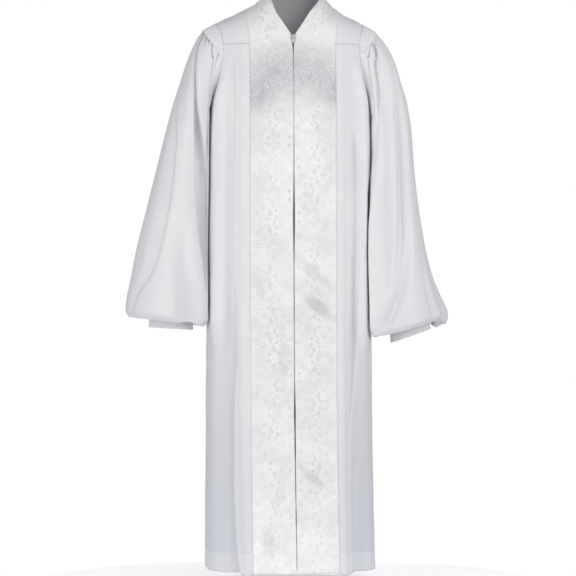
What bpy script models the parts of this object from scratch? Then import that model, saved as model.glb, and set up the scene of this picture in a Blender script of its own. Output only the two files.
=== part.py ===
"""Pulpit robe of white crepe with brocade front panels, hung in its worn, hollow form.

Frame: metres, +Z up, front towards -Y, the wearer's right towards -X. The origin is where the
shoulders carry the robe: on the centre line, level with the middle of the shoulder slope.
Every cloth piece is a closed wall made from a lattice of points on the garment's surface.
"""
import math
from collections import namedtuple

import bmesh
import bpy
from mathutils import Matrix, Vector

# Walls and seams
CREPE = 0.0015
BROCADE = 0.0012
TAPE = 0.0010
CUFF_WALL = 0.0020
SEAM_GAP = 0.0003
SHOULDER_GAP = 0.0002
SEAM_NEAR = 0.0010
SHARP_ANGLE = 50.0

# Heights
HEM_Z = -1.317
FRONT_SEAM_Z = -0.061
BACK_SEAM_Z = -0.130
UNDERARM_Z = -0.212
NECK_SIDE_Z = 0.060
BACK_NECK_RISE = 0.030
V_BOTTOM_Z = -0.042

# Widths and depths
RIDGE_Y = 0.008
NECK_FORWARD = 0.022
NECK_FORWARD_POWER = 1.5
NECK_HALF = 0.067
BACK_NECK_DEPTH = 0.070
BAND_HALF = 0.102
BAND_SHOULDER_HALF = 0.112
BAND_WIDE_Z = 0.030
BODY_POWER = 2.4
SHOULDER_POWER = 2.5
NECK_POWER = 1.15

# Hem line: the sides ride up a little and the strips beside the brocade sag
HEM_SIDE_RISE = 0.002
HEM_SIDE_POWER = 4
HEM_SAG = 0.007
HEM_SAG_X = 0.118
HEM_SAG_HALF = 0.024
SWAY = 0.005
SWAY_START_Z = -0.700
NECK_LEAN = 0.007
NECK_LEAN_START_Z = 0.012
NECK_LEAN_RUN = 0.024

# Body sections, from hem to shoulder
Section = namedtuple("Section", "z half_width front_depth back_depth")
BODY = (
    Section(-1.330, 0.202, 0.150, 0.146),
    Section(-1.150, 0.200, 0.144, 0.141),
    Section(-0.950, 0.1985, 0.137, 0.134),
    Section(-0.760, 0.198, 0.130, 0.127),
    Section(-0.600, 0.194, 0.125, 0.120),
    Section(-0.400, 0.193, 0.122, 0.114),
    Section(-0.212, 0.191, 0.119, 0.111),
    Section(-0.130, 0.190, 0.112, 0.106),
    Section(-0.061, 0.190, 0.102, 0.100),
)

# Shoulder line seen from the front: distance from the centre, height
Ridge = namedtuple("Ridge", "x z")
SHOULDER = (
    Ridge(0.0670, 0.0600),
    Ridge(0.0775, 0.0480),
    Ridge(0.0860, 0.0384),
    Ridge(0.0985, 0.0288),
    Ridge(0.1176, 0.0192),
    Ridge(0.1340, 0.0096),
    Ridge(0.1570, 0.0000),
    Ridge(0.1750, -0.0096),
)

# Half width of the front opening, and of the body where the armhole cuts it
Width = namedtuple("Width", "z x")
OPENING = (
    Width(-1.330, 0.0008),
    Width(-1.150, 0.0010),
    Width(-0.190, 0.0013),
    Width(-0.100, 0.0034),
    Width(-0.061, 0.0056),
    Width(-0.042, 0.0060),
)
ARMHOLE = (
    Width(-0.212, 0.1905),
    Width(-0.190, 0.1850),
    Width(-0.160, 0.1770),
    Width(-0.125, 0.1690),
    Width(-0.090, 0.1640),
    Width(-0.061, 0.1630),
    Width(-0.0096, 0.1750),
)

# Rows of the lattices: heights of the panels, shares of the way up the yokes
PANEL_ROWS = (-1.317, -1.15, -0.95, -0.76, -0.58, -0.42, -0.30, -0.212, -0.178, -0.140, -0.100)
BACK_ROWS = (-1.317, -1.15, -0.95, -0.76, -0.58, -0.42, -0.30, -0.212, -0.172)
FRONT_YOKE_ROWS = (0.0, 0.10, 0.20, 0.36, 0.55, 0.77, 1.0)
BACK_YOKE_ROWS = (0.0, 0.16, 0.32, 0.48, 0.64, 0.82, 1.0)
BAND_CELLS = 5
STRIP_CELLS = 6
STRIP_HALF = 0.150
SIDE_CELLS = 6
YOKE_CELLS = 4
BACK_CELLS = 28
BACK_HALF_ANGLE = 50.0
BACK_SIDE_CELLS = 10
BACK_NECK_CELLS = 4
CAP_CELLS = 2

# Folds of the fronts: distance from the centre at the top and at the hem, half width,
# how far they stand out (a trough is negative) at the top and at the hem, and where they start
Fold = namedtuple("Fold", "x_top x_hem half out_top out_hem start_z")
FRONT_FOLDS = {
    -1: (
        Fold(0.124, 0.127, 0.012, 0.002, 0.006, -0.06),
        Fold(0.141, 0.145, 0.013, -0.007, -0.017, -0.06),
        Fold(0.163, 0.166, 0.012, 0.002, 0.007, -0.20),
        Fold(0.179, 0.184, 0.010, -0.002, -0.009, -0.45),
    ),
    1: (
        Fold(0.128, 0.127, 0.012, 0.002, 0.006, -0.06),
        Fold(0.146, 0.144, 0.013, -0.003, -0.018, -0.16),
        Fold(0.170, 0.172, 0.013, 0.001, 0.006, -0.25),
        Fold(0.184, 0.187, 0.009, -0.001, -0.008, -0.60),
    ),
}

# Flutes of the back: angle from the centre back, half width in degrees, height at yoke and hem
Flute = namedtuple("Flute", "angle half out_top out_hem")
BACK_FLUTES = (
    Flute(-71.0, 7.0, 0.005, 0.012),
    Flute(-57.5, 7.5, 0.007, 0.019),
    Flute(-43.0, 8.0, 0.007, 0.024),
    Flute(-29.0, 7.0, 0.006, 0.020),
    Flute(-14.5, 8.0, 0.007, 0.025),
    Flute(0.0, 7.0, 0.006, 0.021),
    Flute(14.0, 7.5, 0.007, 0.024),
    Flute(28.5, 8.0, 0.007, 0.019),
    Flute(43.5, 7.5, 0.006, 0.025),
    Flute(57.0, 7.0, 0.007, 0.018),
    Flute(70.5, 7.0, 0.005, 0.013),
)

# Sleeve-head cap: how wide it is on the shoulder and at its tips, which way it leans
CAP_WIDE = 0.038
CAP_TIP = 0.0012
CAP_LEAN = Vector((0.86, 0.0, -0.51))
CAP_BACK_ROWS = 4

# Sleeve rings from the armhole down: share of the ring's own oval in it, outer and inner
# point, half depth, middle in Y and height of the small gathers
Ring = namedtuple("Ring", "blend outer_x outer_z inner_x inner_z half_depth mid_y gather")
SLEEVE_RINGS = {
    -1: (
        Ring(0.30, 0.2190, -0.0375, 0.1925, -0.2160, 0.075, 0.000, 0.0030),
        Ring(0.60, 0.2310, -0.0570, 0.1935, -0.2230, 0.080, -0.001, 0.0045),
        Ring(0.90, 0.2450, -0.0930, 0.1930, -0.2380, 0.085, -0.002, 0.0045),
        Ring(1.00, 0.2590, -0.1430, 0.1930, -0.2650, 0.091, -0.003, 0.0030),
        Ring(1.00, 0.2770, -0.1980, 0.1934, -0.3020, 0.097, -0.004, 0.0010),
        Ring(1.00, 0.2950, -0.2640, 0.1939, -0.3500, 0.102, -0.005, 0.0),
        Ring(1.00, 0.3190, -0.3600, 0.1945, -0.4200, 0.108, -0.006, 0.0),
        Ring(1.00, 0.3430, -0.4560, 0.1949, -0.4950, 0.113, -0.007, 0.0),
        Ring(1.00, 0.3670, -0.5520, 0.1954, -0.5750, 0.118, -0.008, 0.0),
        Ring(1.00, 0.3810, -0.6240, 0.1965, -0.6450, 0.121, -0.009, 0.0),
        Ring(1.00, 0.3895, -0.6640, 0.1980, -0.6920, 0.121, -0.010, 0.0),
        Ring(1.00, 0.3930, -0.6950, 0.1992, -0.7200, 0.117, -0.010, 0.0),
        Ring(1.00, 0.3850, -0.7120, 0.2060, -0.7350, 0.104, -0.010, 0.0),
    ),
    1: (
        Ring(0.30, 0.2190, -0.0375, 0.1925, -0.2160, 0.075, 0.000, 0.0030),
        Ring(0.60, 0.2350, -0.0570, 0.1935, -0.2230, 0.080, -0.001, 0.0045),
        Ring(0.90, 0.2530, -0.0930, 0.1930, -0.2380, 0.085, -0.002, 0.0045),
        Ring(1.00, 0.2670, -0.1430, 0.1930, -0.2650, 0.091, -0.003, 0.0030),
        Ring(1.00, 0.2830, -0.1980, 0.1934, -0.3020, 0.097, -0.004, 0.0010),
        Ring(1.00, 0.2930, -0.2640, 0.1939, -0.3500, 0.102, -0.005, 0.0),
        Ring(1.00, 0.3000, -0.3600, 0.1945, -0.4200, 0.108, -0.006, 0.0),
        Ring(1.00, 0.3110, -0.4560, 0.1949, -0.4950, 0.113, -0.007, 0.0),
        Ring(1.00, 0.3240, -0.5520, 0.1954, -0.5780, 0.117, -0.008, 0.0),
        Ring(1.00, 0.3380, -0.6200, 0.1965, -0.6580, 0.119, -0.009, 0.0),
        Ring(1.00, 0.3510, -0.6640, 0.1985, -0.7150, 0.118, -0.010, 0.0),
        Ring(1.00, 0.3630, -0.7040, 0.2005, -0.7480, 0.114, -0.010, 0.0),
        Ring(1.00, 0.3560, -0.7190, 0.2080, -0.7610, 0.102, -0.010, 0.0),
    ),
}
OVAL_POWER = 2.15
GATHER_TROUGH = 0.5

# Folds of the sleeves: angle from the outer side (90 is the front, 270 the back), half angle,
# how far they stand out, each at the first and at the last ring that they reach
Crease = namedtuple("Crease", "first last angle_first angle_last half out_first out_last")
SLEEVE_CREASES = {
    -1: (
        Crease(1, 5, 62, 98, 13, -0.006, -0.013),
        Crease(5, 11, 98, 132, 17, -0.013, -0.012),
        Crease(3, 9, 34, 68, 15, -0.003, -0.008),
        Crease(8, 12, 62, 38, 13, -0.005, -0.007),
        Crease(7, 12, 100, 118, 13, 0.005, -0.010),
        Crease(4, 12, 150, 152, 13, 0.003, 0.006),
        Crease(1, 6, 286, 262, 14, -0.005, -0.009),
        Crease(6, 12, 262, 242, 16, -0.009, -0.012),
        Crease(4, 12, 318, 300, 14, -0.003, -0.009),
        Crease(6, 12, 220, 215, 13, 0.003, -0.007),
    ),
    1: (
        Crease(1, 6, 74, 140, 13, -0.006, -0.012),
        Crease(3, 9, 48, 78, 17, -0.005, -0.012),
        Crease(9, 12, 78, 128, 16, -0.012, -0.008),
        Crease(4, 10, 108, 112, 14, 0.004, 0.006),
        Crease(7, 12, 40, 28, 14, 0.002, -0.012),
        Crease(7, 13, 345, 340, 33, 0.003, 0.026),
        Crease(6, 12, 290, 288, 15, -0.004, -0.010),
        Crease(1, 6, 288, 258, 14, -0.005, -0.009),
        Crease(6, 12, 250, 240, 14, 0.003, 0.006),
        Crease(5, 12, 222, 210, 14, -0.004, -0.010),
    ),
}

# Cuffs: outer and inner point at the top and at the bottom, half depth
Cuff = namedtuple("Cuff", "top_out top_in low_out low_in half_depth mid_y")
CUFFS = {
    -1: Cuff((0.335, -0.690), (0.233, -0.698), (0.337, -0.737), (0.231, -0.743), 0.047, -0.010),
    1: Cuff((0.337, -0.690), (0.242, -0.721), (0.340, -0.740), (0.244, -0.774), 0.047, -0.010),
}
CUFF_SEAM = 0.25

# Zip: tapes behind the front edges, slider with its bridge, pull tab hung in it
TAPE_WIDTH = 0.013
TAPE_YOKE_ROWS = 1
SLIDER_Z = -0.0475
SLIDER_WIDTH = 0.0090
SLIDER_LOW_WIDTH = 0.0066
SLIDER_HEIGHT = 0.0090
SLIDER_DEPTH = 0.0030
BRIDGE_WIDTH = 0.0026
BRIDGE_HOLE = 0.0048
BRIDGE_REACH = 0.0024
BRIDGE_BAR = 0.0010
TAB_WIDTH = 0.0070
TAB_LENGTH = 0.0150
TAB_THICK = 0.0012
TAB_WINDOW_WIDTH = 0.0038
TAB_WINDOW = 0.0040
TAB_CORNER = 0.0012
TAB_CORNER_CELLS = 3

# Colours and surfaces
Finish = namedtuple("Finish", "colour roughness metallic")
CREPE_FINISH = Finish((0.80, 0.81, 0.83), 0.75, 0.0)
BROCADE_FINISH = Finish((0.86, 0.86, 0.87), 0.45, 0.0)
TAPE_FINISH = Finish((0.74, 0.75, 0.77), 0.85, 0.0)
METAL_FINISH = Finish((0.78, 0.79, 0.80), 0.30, 1.0)


def between(start, end, share):
    """Point or number part of the way from start to end."""
    return start + (end - start) * share


def along(table, key, value):
    """Interpolated row of a table whose first column rises."""
    rows = [row[0] for row in table]
    if key <= rows[0]:
        return getattr(table[0], value)
    for low, high in zip(table, table[1:]):
        if key <= high[0]:
            share = (key - low[0]) / (high[0] - low[0])
            return between(getattr(low, value), getattr(high, value), share)
    return getattr(table[-1], value)


def round_off(share, power):
    """Height of a unit superellipse at a share of its width."""
    return max(0.0, 1.0 - min(1.0, abs(share)) ** power) ** (1.0 / power)


def bump(offset, half):
    """Smooth hump of height 1 that ends at half."""
    if abs(offset) >= half:
        return 0.0
    return math.cos(0.5 * math.pi * offset / half) ** 2


def body_width(z):
    """Half width of the body at a height."""
    return along(BODY, z, "half_width")


def body_depth(face, z):
    """Depth of the front (face -1) or of the back (face 1) at a height."""
    return along(BODY, z, "front_depth" if face < 0 else "back_depth")


def seam_z(face):
    """Height of the yoke seam, front or back."""
    return FRONT_SEAM_Z if face < 0 else BACK_SEAM_Z


def ridge_z(face, x):
    """Height of the shoulder line, which rises at the back of the neck."""
    if face > 0 and x < NECK_HALF:
        return NECK_SIDE_Z + BACK_NECK_RISE * (1.0 - (x / NECK_HALF) ** 2)
    return along(SHOULDER, x, "z")


def opening_x(z):
    """Half width of the front opening, then of the V of the neck above it."""
    if z <= V_BOTTOM_Z:
        return along(OPENING, z, "x")
    share = min(1.0, (z - V_BOTTOM_Z) / (NECK_SIDE_Z - V_BOTTOM_Z))
    start = OPENING[-1].x
    return between(start, NECK_HALF, 1.0 - (1.0 - share) ** NECK_POWER)


def band_x(z):
    """Outer edge of the brocade: straight, wider on the shoulder."""
    if z <= FRONT_SEAM_Z:
        return BAND_HALF
    share = min(1.0, (z - FRONT_SEAM_Z) / (BAND_WIDE_Z - FRONT_SEAM_Z))
    return between(BAND_HALF, BAND_SHOULDER_HALF, share)


def edge_x(z):
    """Outer edge of the fronts and backs: side seam, then armhole."""
    return body_width(z) if z <= UNDERARM_Z else along(ARMHOLE, z, "x")


def ridge_y(x):
    """Y of the shoulder line, which runs forward to the side of the neck."""
    share = (BAND_SHOULDER_HALF - abs(x)) / (BAND_SHOULDER_HALF - NECK_HALF)
    return RIDGE_Y - NECK_FORWARD * min(1.0, max(0.0, share)) ** NECK_FORWARD_POWER


def torso_y(face, x, z):
    """Y of the garment's surface, front or back, at a place seen from the front."""
    seam = seam_z(face)
    level = min(z, seam)
    foot = face * body_depth(face, level) * round_off(x / body_width(level), BODY_POWER)
    if z <= seam:
        return foot
    rise = (z - seam) / (ridge_z(face, abs(x)) - seam)
    return ridge_y(x) + (foot - ridge_y(x)) * round_off(rise, SHOULDER_POWER)


def swayed(x, z):
    """Place from the centre, with the hem and the neck standing a little to the robe's left."""
    neck = min(1.0, max(0.0, z - NECK_LEAN_START_Z) / NECK_LEAN_RUN)
    return x + SWAY * (max(0.0, SWAY_START_Z - z) / (SWAY_START_Z - HEM_Z)) ** 2 + NECK_LEAN * neck


def hem_z(x):
    """Height of the hem, which isn't quite level."""
    side = HEM_SIDE_RISE * (abs(x) / body_width(HEM_Z)) ** HEM_SIDE_POWER
    return HEM_Z + side - HEM_SAG * bump(abs(x) - HEM_SAG_X, HEM_SAG_HALF)


def normals(lattice, sense, wrap=False):
    """Unit normals of a lattice, from its neighbouring points."""
    rows, columns = len(lattice), len(lattice[0])
    result = []
    for row in range(rows):
        below, above = lattice[max(row - 1, 0)], lattice[min(row + 1, rows - 1)]
        line = []
        for column in range(columns):
            if wrap:
                before, after = column - 1, (column + 1) % columns
            else:
                before, after = max(column - 1, 0), min(column + 1, columns - 1)
            across = lattice[row][after] - lattice[row][before]
            upward = above[column] - below[column]
            way = sense * across.cross(upward).normalized()
            line.append(way if wrap else squared(lattice[row][column], way))
        result.append(line)
    return result


def squared(point, way):
    """Direction of a wall's edge, kept in the plane of the side, shoulder or yoke seam it is on."""
    shoulder = ridge_y(point.x - swayed(0.0, point.z))
    if min(abs(point.y), abs(point.y - shoulder)) < SEAM_NEAR:
        way = Vector((way.x, 0.0, way.z))
    if min(abs(point.z - FRONT_SEAM_Z), abs(point.z - BACK_SEAM_Z)) < SEAM_NEAR:
        way = Vector((way.x, way.y, 0.0))
    return way.normalized()


def moved(lattice, directions, distance):
    """Lattice moved along its directions by one distance."""
    return [[p + n * distance for p, n in zip(line, way)] for line, way in zip(lattice, directions)]


def raised(lattice, sense, amount, wrap=False):
    """Lattice moved along its normals by an amount worked out for each row and column."""
    ways = normals(lattice, sense, wrap)
    return [
        [point + ways[row][column] * amount(row, column, point) for column, point in enumerate(line)]
        for row, line in enumerate(lattice)
    ]


def finish_material(name, finish):
    """Principled material of a piece."""
    material = bpy.data.materials.new(name)
    material.use_nodes = True
    shader = material.node_tree.nodes["Principled BSDF"]
    shader.inputs["Base Color"].default_value = (*finish.colour, 1.0)
    shader.inputs["Roughness"].default_value = finish.roughness
    shader.inputs["Metallic"].default_value = finish.metallic
    return material


def place(name, mesh, finish):
    """Object of a finished mesh, with its own material."""
    thing = bpy.data.objects.new(name, mesh)
    bpy.context.scene.collection.objects.link(thing)
    mesh.materials.append(finish_material(name, finish))
    return thing


def wall(name, lattice, sense, lift, thickness, finish, wrap=False):
    """Closed wall over a lattice: its inner face lifted from it, its outer face one wall further."""
    ways = normals(lattice, sense, wrap)
    faces = (moved(lattice, ways, lift), moved(lattice, ways, lift + thickness))
    mesh = bpy.data.meshes.new(name)
    shell = bmesh.new()
    skins = [[[shell.verts.new(point) for point in line] for line in face] for face in faces]
    rows, columns = len(lattice), len(lattice[0])
    steps = columns if wrap else columns - 1
    for row in range(rows - 1):
        for column in range(steps):
            after = (column + 1) % columns
            for skin in skins:
                shell.faces.new((skin[row][column], skin[row][after], skin[row + 1][after],
                                 skin[row + 1][column]))
    inner, outer = skins
    for row in (0, rows - 1):
        for column in range(steps):
            after = (column + 1) % columns
            shell.faces.new((inner[row][column], inner[row][after], outer[row][after],
                             outer[row][column]))
    if not wrap:
        for column in (0, columns - 1):
            for row in range(rows - 1):
                shell.faces.new((inner[row][column], inner[row + 1][column], outer[row + 1][column],
                                 outer[row][column]))
    bmesh.ops.recalc_face_normals(shell, faces=shell.faces)
    shell.to_mesh(mesh)
    shell.free()
    mesh.shade_smooth()
    mesh.set_sharp_from_angle(angle=math.radians(SHARP_ANGLE))
    return place(name, mesh, finish)


def round_side(start, edge, width, cells):
    """Distances from the centre of columns that follow the rounding side from start to edge."""
    first, last = math.asin(start / width), math.asin(min(1.0, edge / width))
    return [width * math.sin(between(first, last, step / cells)) for step in range(1, cells + 1)]


def band_places(z_open, z_band):
    """Distances from the centre of the columns under the brocade in one row of a front."""
    start, band = opening_x(z_open), band_x(z_band)
    return [between(start, band, step / BAND_CELLS) for step in range(BAND_CELLS + 1)]


def yoke_places(z_open, z_band, z_edge):
    """Distances from the centre of the columns in one row of a yoke."""
    places = band_places(z_open, z_band)
    return places + round_side(places[-1], edge_x(z_edge), body_width(FRONT_SEAM_Z), YOKE_CELLS)


def panel_places(z):
    """Distances from the centre of the columns in one row of a front panel."""
    width = body_width(z)
    places = band_places(z, z)
    places += round_side(places[-1], STRIP_HALF, width, STRIP_CELLS)
    return places + round_side(STRIP_HALF, edge_x(z), width, SIDE_CELLS)


def front_fold(side, x, z):
    """How far the folds of one front stand out."""
    total = 0.0
    for fold in FRONT_FOLDS[side]:
        if z >= fold.start_z:
            continue
        share = (fold.start_z - z) / (fold.start_z - HEM_Z)
        middle = between(fold.x_top, fold.x_hem, share)
        total += bump(x - middle, fold.half) * between(fold.out_top, fold.out_hem, share)
    return total


def front_panel_lattice(side, top_z):
    """Lattice of one front, from the hem to the yoke seam."""
    lattice = []
    for z in (*PANEL_ROWS, top_z):
        line = []
        for x in panel_places(z):
            height = hem_z(x) if z == HEM_Z else z
            line.append(Vector((swayed(side * x, z), torso_y(-1, x, z), height)))
        line[-1].y -= 0.5 * SEAM_GAP
        lattice.append(line)
    return raised(lattice, side, lambda row, column, point: front_fold(side, abs(point.x), point.z))


def front_yoke_lattice(side, low_gap):
    """Lattice of one front yoke, from the front seam over to the shoulder seam."""
    lattice = []
    for share in FRONT_YOKE_ROWS:
        rise = math.sin(0.5 * math.pi * share)
        inner = between(FRONT_SEAM_Z, NECK_SIDE_Z, rise)
        band = between(FRONT_SEAM_Z, ridge_z(-1, BAND_SHOULDER_HALF), rise)
        edge = between(FRONT_SEAM_Z, SHOULDER[-1].z, rise)
        line = []
        for x in yoke_places(inner, band, edge):
            z = between(FRONT_SEAM_Z, ridge_z(-1, x), rise)
            line.append(Vector((swayed(side * x, z), torso_y(-1, x, z), z)))
        lattice.append(line)
    for low, high in zip(lattice[0], lattice[-1]):
        low.z += low_gap
        high.y -= SHOULDER_GAP
    return lattice


def back_fold(side_angle, z):
    """How far the flutes of the back stand out at an angle from the centre back."""
    share = (BACK_SEAM_Z - z) / (BACK_SEAM_Z - HEM_Z)
    return sum(
        bump(side_angle - flute.angle, flute.half) * between(flute.out_top, flute.out_hem, share)
        for flute in BACK_FLUTES
    )


def back_panel_lattice():
    """Lattice of the back, from the hem to the back yoke, right side seam to left."""
    top_z = BACK_SEAM_Z - 0.5 * SEAM_GAP
    lattice, angles = [], []
    for z in (*BACK_ROWS, top_z):
        width = body_width(z)
        reach = math.degrees(math.asin(min(1.0, edge_x(z) / width)))
        side = [between(BACK_HALF_ANGLE, reach, step / BACK_SIDE_CELLS)
                for step in range(1, BACK_SIDE_CELLS + 1)]
        middle = [between(-BACK_HALF_ANGLE, BACK_HALF_ANGLE, step / BACK_CELLS)
                  for step in range(BACK_CELLS + 1)]
        line, turns = [], []
        for turn in (*(-angle for angle in reversed(side)), *middle, *side):
            x = width * math.sin(math.radians(turn))
            height = hem_z(x) if z == HEM_Z else z
            line.append(Vector((swayed(x, z), torso_y(1, x, z), height)))
            turns.append(turn)
        line[0].y += 0.5 * SEAM_GAP
        line[-1].y += 0.5 * SEAM_GAP
        lattice.append(line)
        angles.append(turns)
    return raised(lattice, -1, lambda row, column, point: back_fold(angles[row][column], point.z))


def back_neck_rise(x):
    """Share of the back yoke's height at which the neck edge cuts it."""
    if x >= NECK_HALF:
        return 1.0
    neck_y = ridge_y(NECK_HALF) + BACK_NECK_DEPTH * math.sqrt(1.0 - (x / NECK_HALF) ** 2)
    foot = torso_y(1, x, BACK_SEAM_Z)
    return round_off((neck_y - ridge_y(x)) / (foot - ridge_y(x)), SHOULDER_POWER)


def back_yoke_lattice():
    """Lattice of the back yoke, from the back seam up to the shoulder seams and the neck."""
    neck = [NECK_HALF * math.sin(0.5 * math.pi * step / BACK_NECK_CELLS)
            for step in range(BACK_NECK_CELLS)]
    lattice = []
    for share in BACK_YOKE_ROWS:
        rise = math.sin(0.5 * math.pi * share)
        edge = between(BACK_SEAM_Z, SHOULDER[-1].z, rise)
        outer = yoke_places(NECK_SIDE_Z, NECK_SIDE_Z, edge)
        right, left = [], []
        for x in (*neck, *outer):
            z = between(BACK_SEAM_Z, ridge_z(1, x), rise * back_neck_rise(x))
            y = torso_y(1, x, z)
            right.append(Vector((swayed(-x, z), y, z)))
            left.append(Vector((swayed(x, z), y, z)))
        lattice.append(right[:0:-1] + left)
    for low in lattice[0]:
        low.z += 0.5 * SEAM_GAP
    for column, high in enumerate(lattice[-1]):
        if abs(column - len(lattice[-1]) // 2) >= BACK_NECK_CELLS:
            high.y += SHOULDER_GAP
    return lattice


def cap_lattice(side, edge, ridge):
    """Lattice of a sleeve-head cap along the armhole, front tip first, with its ridge row."""
    lean = Vector((side * CAP_LEAN.x, CAP_LEAN.y, CAP_LEAN.z))
    lattice = []
    for step, point in enumerate(edge):
        turn = step / ridge - 1.0 if step < ridge else (step - ridge) / (len(edge) - 1 - ridge)
        width = between(CAP_TIP, CAP_WIDE, math.cos(0.5 * math.pi * turn) ** 2)
        start = point + lean * SEAM_GAP
        lattice.append([start + lean * (width * column / CAP_CELLS)
                        for column in range(CAP_CELLS + 1)])
    return lattice


def oval(side, ring, angle):
    """Point of a sleeve ring's own oval."""
    turn = math.radians(angle)
    across = math.copysign(abs(math.cos(turn)) ** (2.0 / OVAL_POWER), math.cos(turn))
    forward = math.copysign(abs(math.sin(turn)) ** (2.0 / OVAL_POWER), math.sin(turn))
    share = 0.5 - 0.5 * across
    x = between(ring.outer_x, ring.inner_x, share)
    z = between(ring.outer_z, ring.inner_z, share)
    return Vector((side * x, ring.mid_y - ring.half_depth * forward, z))


def ring_angles(ring, under):
    """Angles of the points of the armhole ring: 0 on the shoulder, 180 at the underarm."""
    angles = [0.0] * len(ring)
    for indices, sense in ((range(0, under + 1), 1), (range(len(ring), under - 1, -1), -1)):
        run, lengths = 0.0, []
        before = ring[0]
        for index in indices:
            point = ring[index % len(ring)]
            run += (point - before).length
            before = point
            lengths.append(run)
        for index, length in zip(indices, lengths):
            angles[index % len(ring)] = (sense * 180.0 * length / run) % 360.0
    return angles


def crease_out(side, ring_number, angle):
    """How far the folds of a sleeve stand out on one ring at an angle."""
    total = 0.0
    for crease in SLEEVE_CREASES[side]:
        if not crease.first <= ring_number <= crease.last:
            continue
        share = (ring_number - crease.first) / (crease.last - crease.first)
        middle = between(crease.angle_first, crease.angle_last, share)
        offset = (angle - middle + 180.0) % 360.0 - 180.0
        total += bump(offset, crease.half) * between(crease.out_first, crease.out_last, share)
    return total


def sleeve_lattice(side, seam_ring, angles, gathered, cuff_ring):
    """Lattice of a sleeve: armhole ring, hanging rings with their folds, ring at the cuff."""
    rings = SLEEVE_RINGS[side]
    lattice = [seam_ring]
    for ring in rings:
        own = [oval(side, ring, angle) for angle in angles]
        lattice.append([between(start, point, ring.blend) for start, point in zip(seam_ring, own)])
    lattice.append(cuff_ring)

    def amount(row, column, point):
        if not 1 <= row <= len(rings):
            return 0.0
        out = crease_out(side, row, angles[column])
        if column in gathered:
            out += rings[row - 1].gather * (1.0 if column % 2 else -GATHER_TROUGH)
        return out

    return raised(lattice, side, amount, wrap=True)


def cuff_lattice(side, angles):
    """Lattice of a cuff, low edge first, with a row where the sleeve is sewn on."""
    cuff = CUFFS[side]
    lattice = []
    for share in (0.0, 1.0 - CUFF_SEAM, 1.0):
        outer = [between(low, top, share) for low, top in zip(cuff.low_out, cuff.top_out)]
        inner = [between(low, top, share) for low, top in zip(cuff.low_in, cuff.top_in)]
        ring = Ring(1.0, *outer, *inner, cuff.half_depth, cuff.mid_y, 0.0)
        lattice.append([oval(side, ring, angle) for angle in angles])
    return lattice


def halved(points):
    """Closed ring with a point added in the middle of each side."""
    ring = []
    for index, point in enumerate(points):
        ring.extend((point, between(point, points[(index + 1) % len(points)], 0.5)))
    return ring


def build_side(side, name, back_rows, yoke_rows):
    """All the pieces of one side of the robe."""
    half_gap = 0.5 * SEAM_GAP
    panel = front_panel_lattice(side, FRONT_SEAM_Z - half_gap)
    wall(f"front_{name}", panel, side, -CREPE, CREPE, CREPE_FINISH)
    yoke = front_yoke_lattice(side, half_gap)
    wall(f"yoke_front_{name}", yoke, side, -CREPE, CREPE, CREPE_FINISH)

    whole = front_panel_lattice(side, FRONT_SEAM_Z) + front_yoke_lattice(side, 0.0)[1:]
    band = [line[:BAND_CELLS + 1] for line in whole]
    wall(f"brocade_{name}", band, side, SEAM_GAP, BROCADE, BROCADE_FINISH)

    top_row = len(PANEL_ROWS) + TAPE_YOKE_ROWS
    tape = []
    for line in whole[:top_row + 1]:
        cell = line[1] - line[0]
        first = side * (line[0].x - swayed(0.0, line[0].z))
        start = (0.5 * SEAM_GAP - first) / (side * cell.x)
        end = (TAPE_WIDTH - first) / (side * cell.x)
        tape.append([line[0] + cell * start, line[0] + cell * end])
    wall(f"zip_tape_{name}", tape, side, -(CREPE + SEAM_GAP + TAPE), TAPE, TAPE_FINISH)

    last = -1 if side > 0 else 0
    front_edge = [line[-1] for line in yoke]
    back_edge = [line[last] for line in reversed(yoke_rows)]
    ridge = len(front_edge) - 1
    shoulder = between(front_edge[-1], back_edge[0], 0.5)
    cap = cap_lattice(side, front_edge[:-1] + [shoulder] + back_edge[1:CAP_BACK_ROWS], ridge)
    wall(f"sleeve_cap_{name}", cap, -side, -CREPE, CREPE, CREPE_FINISH)

    outward = Vector((side * SEAM_GAP, 0.0, 0.0))
    over = [line[-1] + outward for line in cap]
    down_front = [line[-1] + outward for line in reversed(panel[:-1])
                  if line[-1].z > UNDERARM_Z - SEAM_NEAR]
    up_back = [line[last] + outward for line in back_rows[:-1]
               if line[last].z > UNDERARM_Z + SEAM_NEAR]
    up_back += [point + outward for point in reversed(back_edge[CAP_BACK_ROWS:])]
    ring = over[ridge::-1] + down_front + up_back + over[:ridge:-1]
    seam_ring = halved(ring)
    under = 2 * (ridge + len(down_front))
    gathered = set(range(0, 2 * ridge + 1))
    gathered |= set(range(len(seam_ring) - 2 * (len(over) - 1 - ridge), len(seam_ring)))

    angles = ring_angles(seam_ring, under)
    cuff = cuff_lattice(side, angles)
    wall(f"cuff_{name}", cuff, -side, -CUFF_WALL, CUFF_WALL, CREPE_FINISH, wrap=True)
    cuff_ring = moved(cuff, normals(cuff, -side, wrap=True), SEAM_GAP)[1]
    sleeve = sleeve_lattice(side, seam_ring, angles, gathered, cuff_ring)
    wall(f"sleeve_{name}", sleeve, side, -CREPE, CREPE, CREPE_FINISH, wrap=True)


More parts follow.
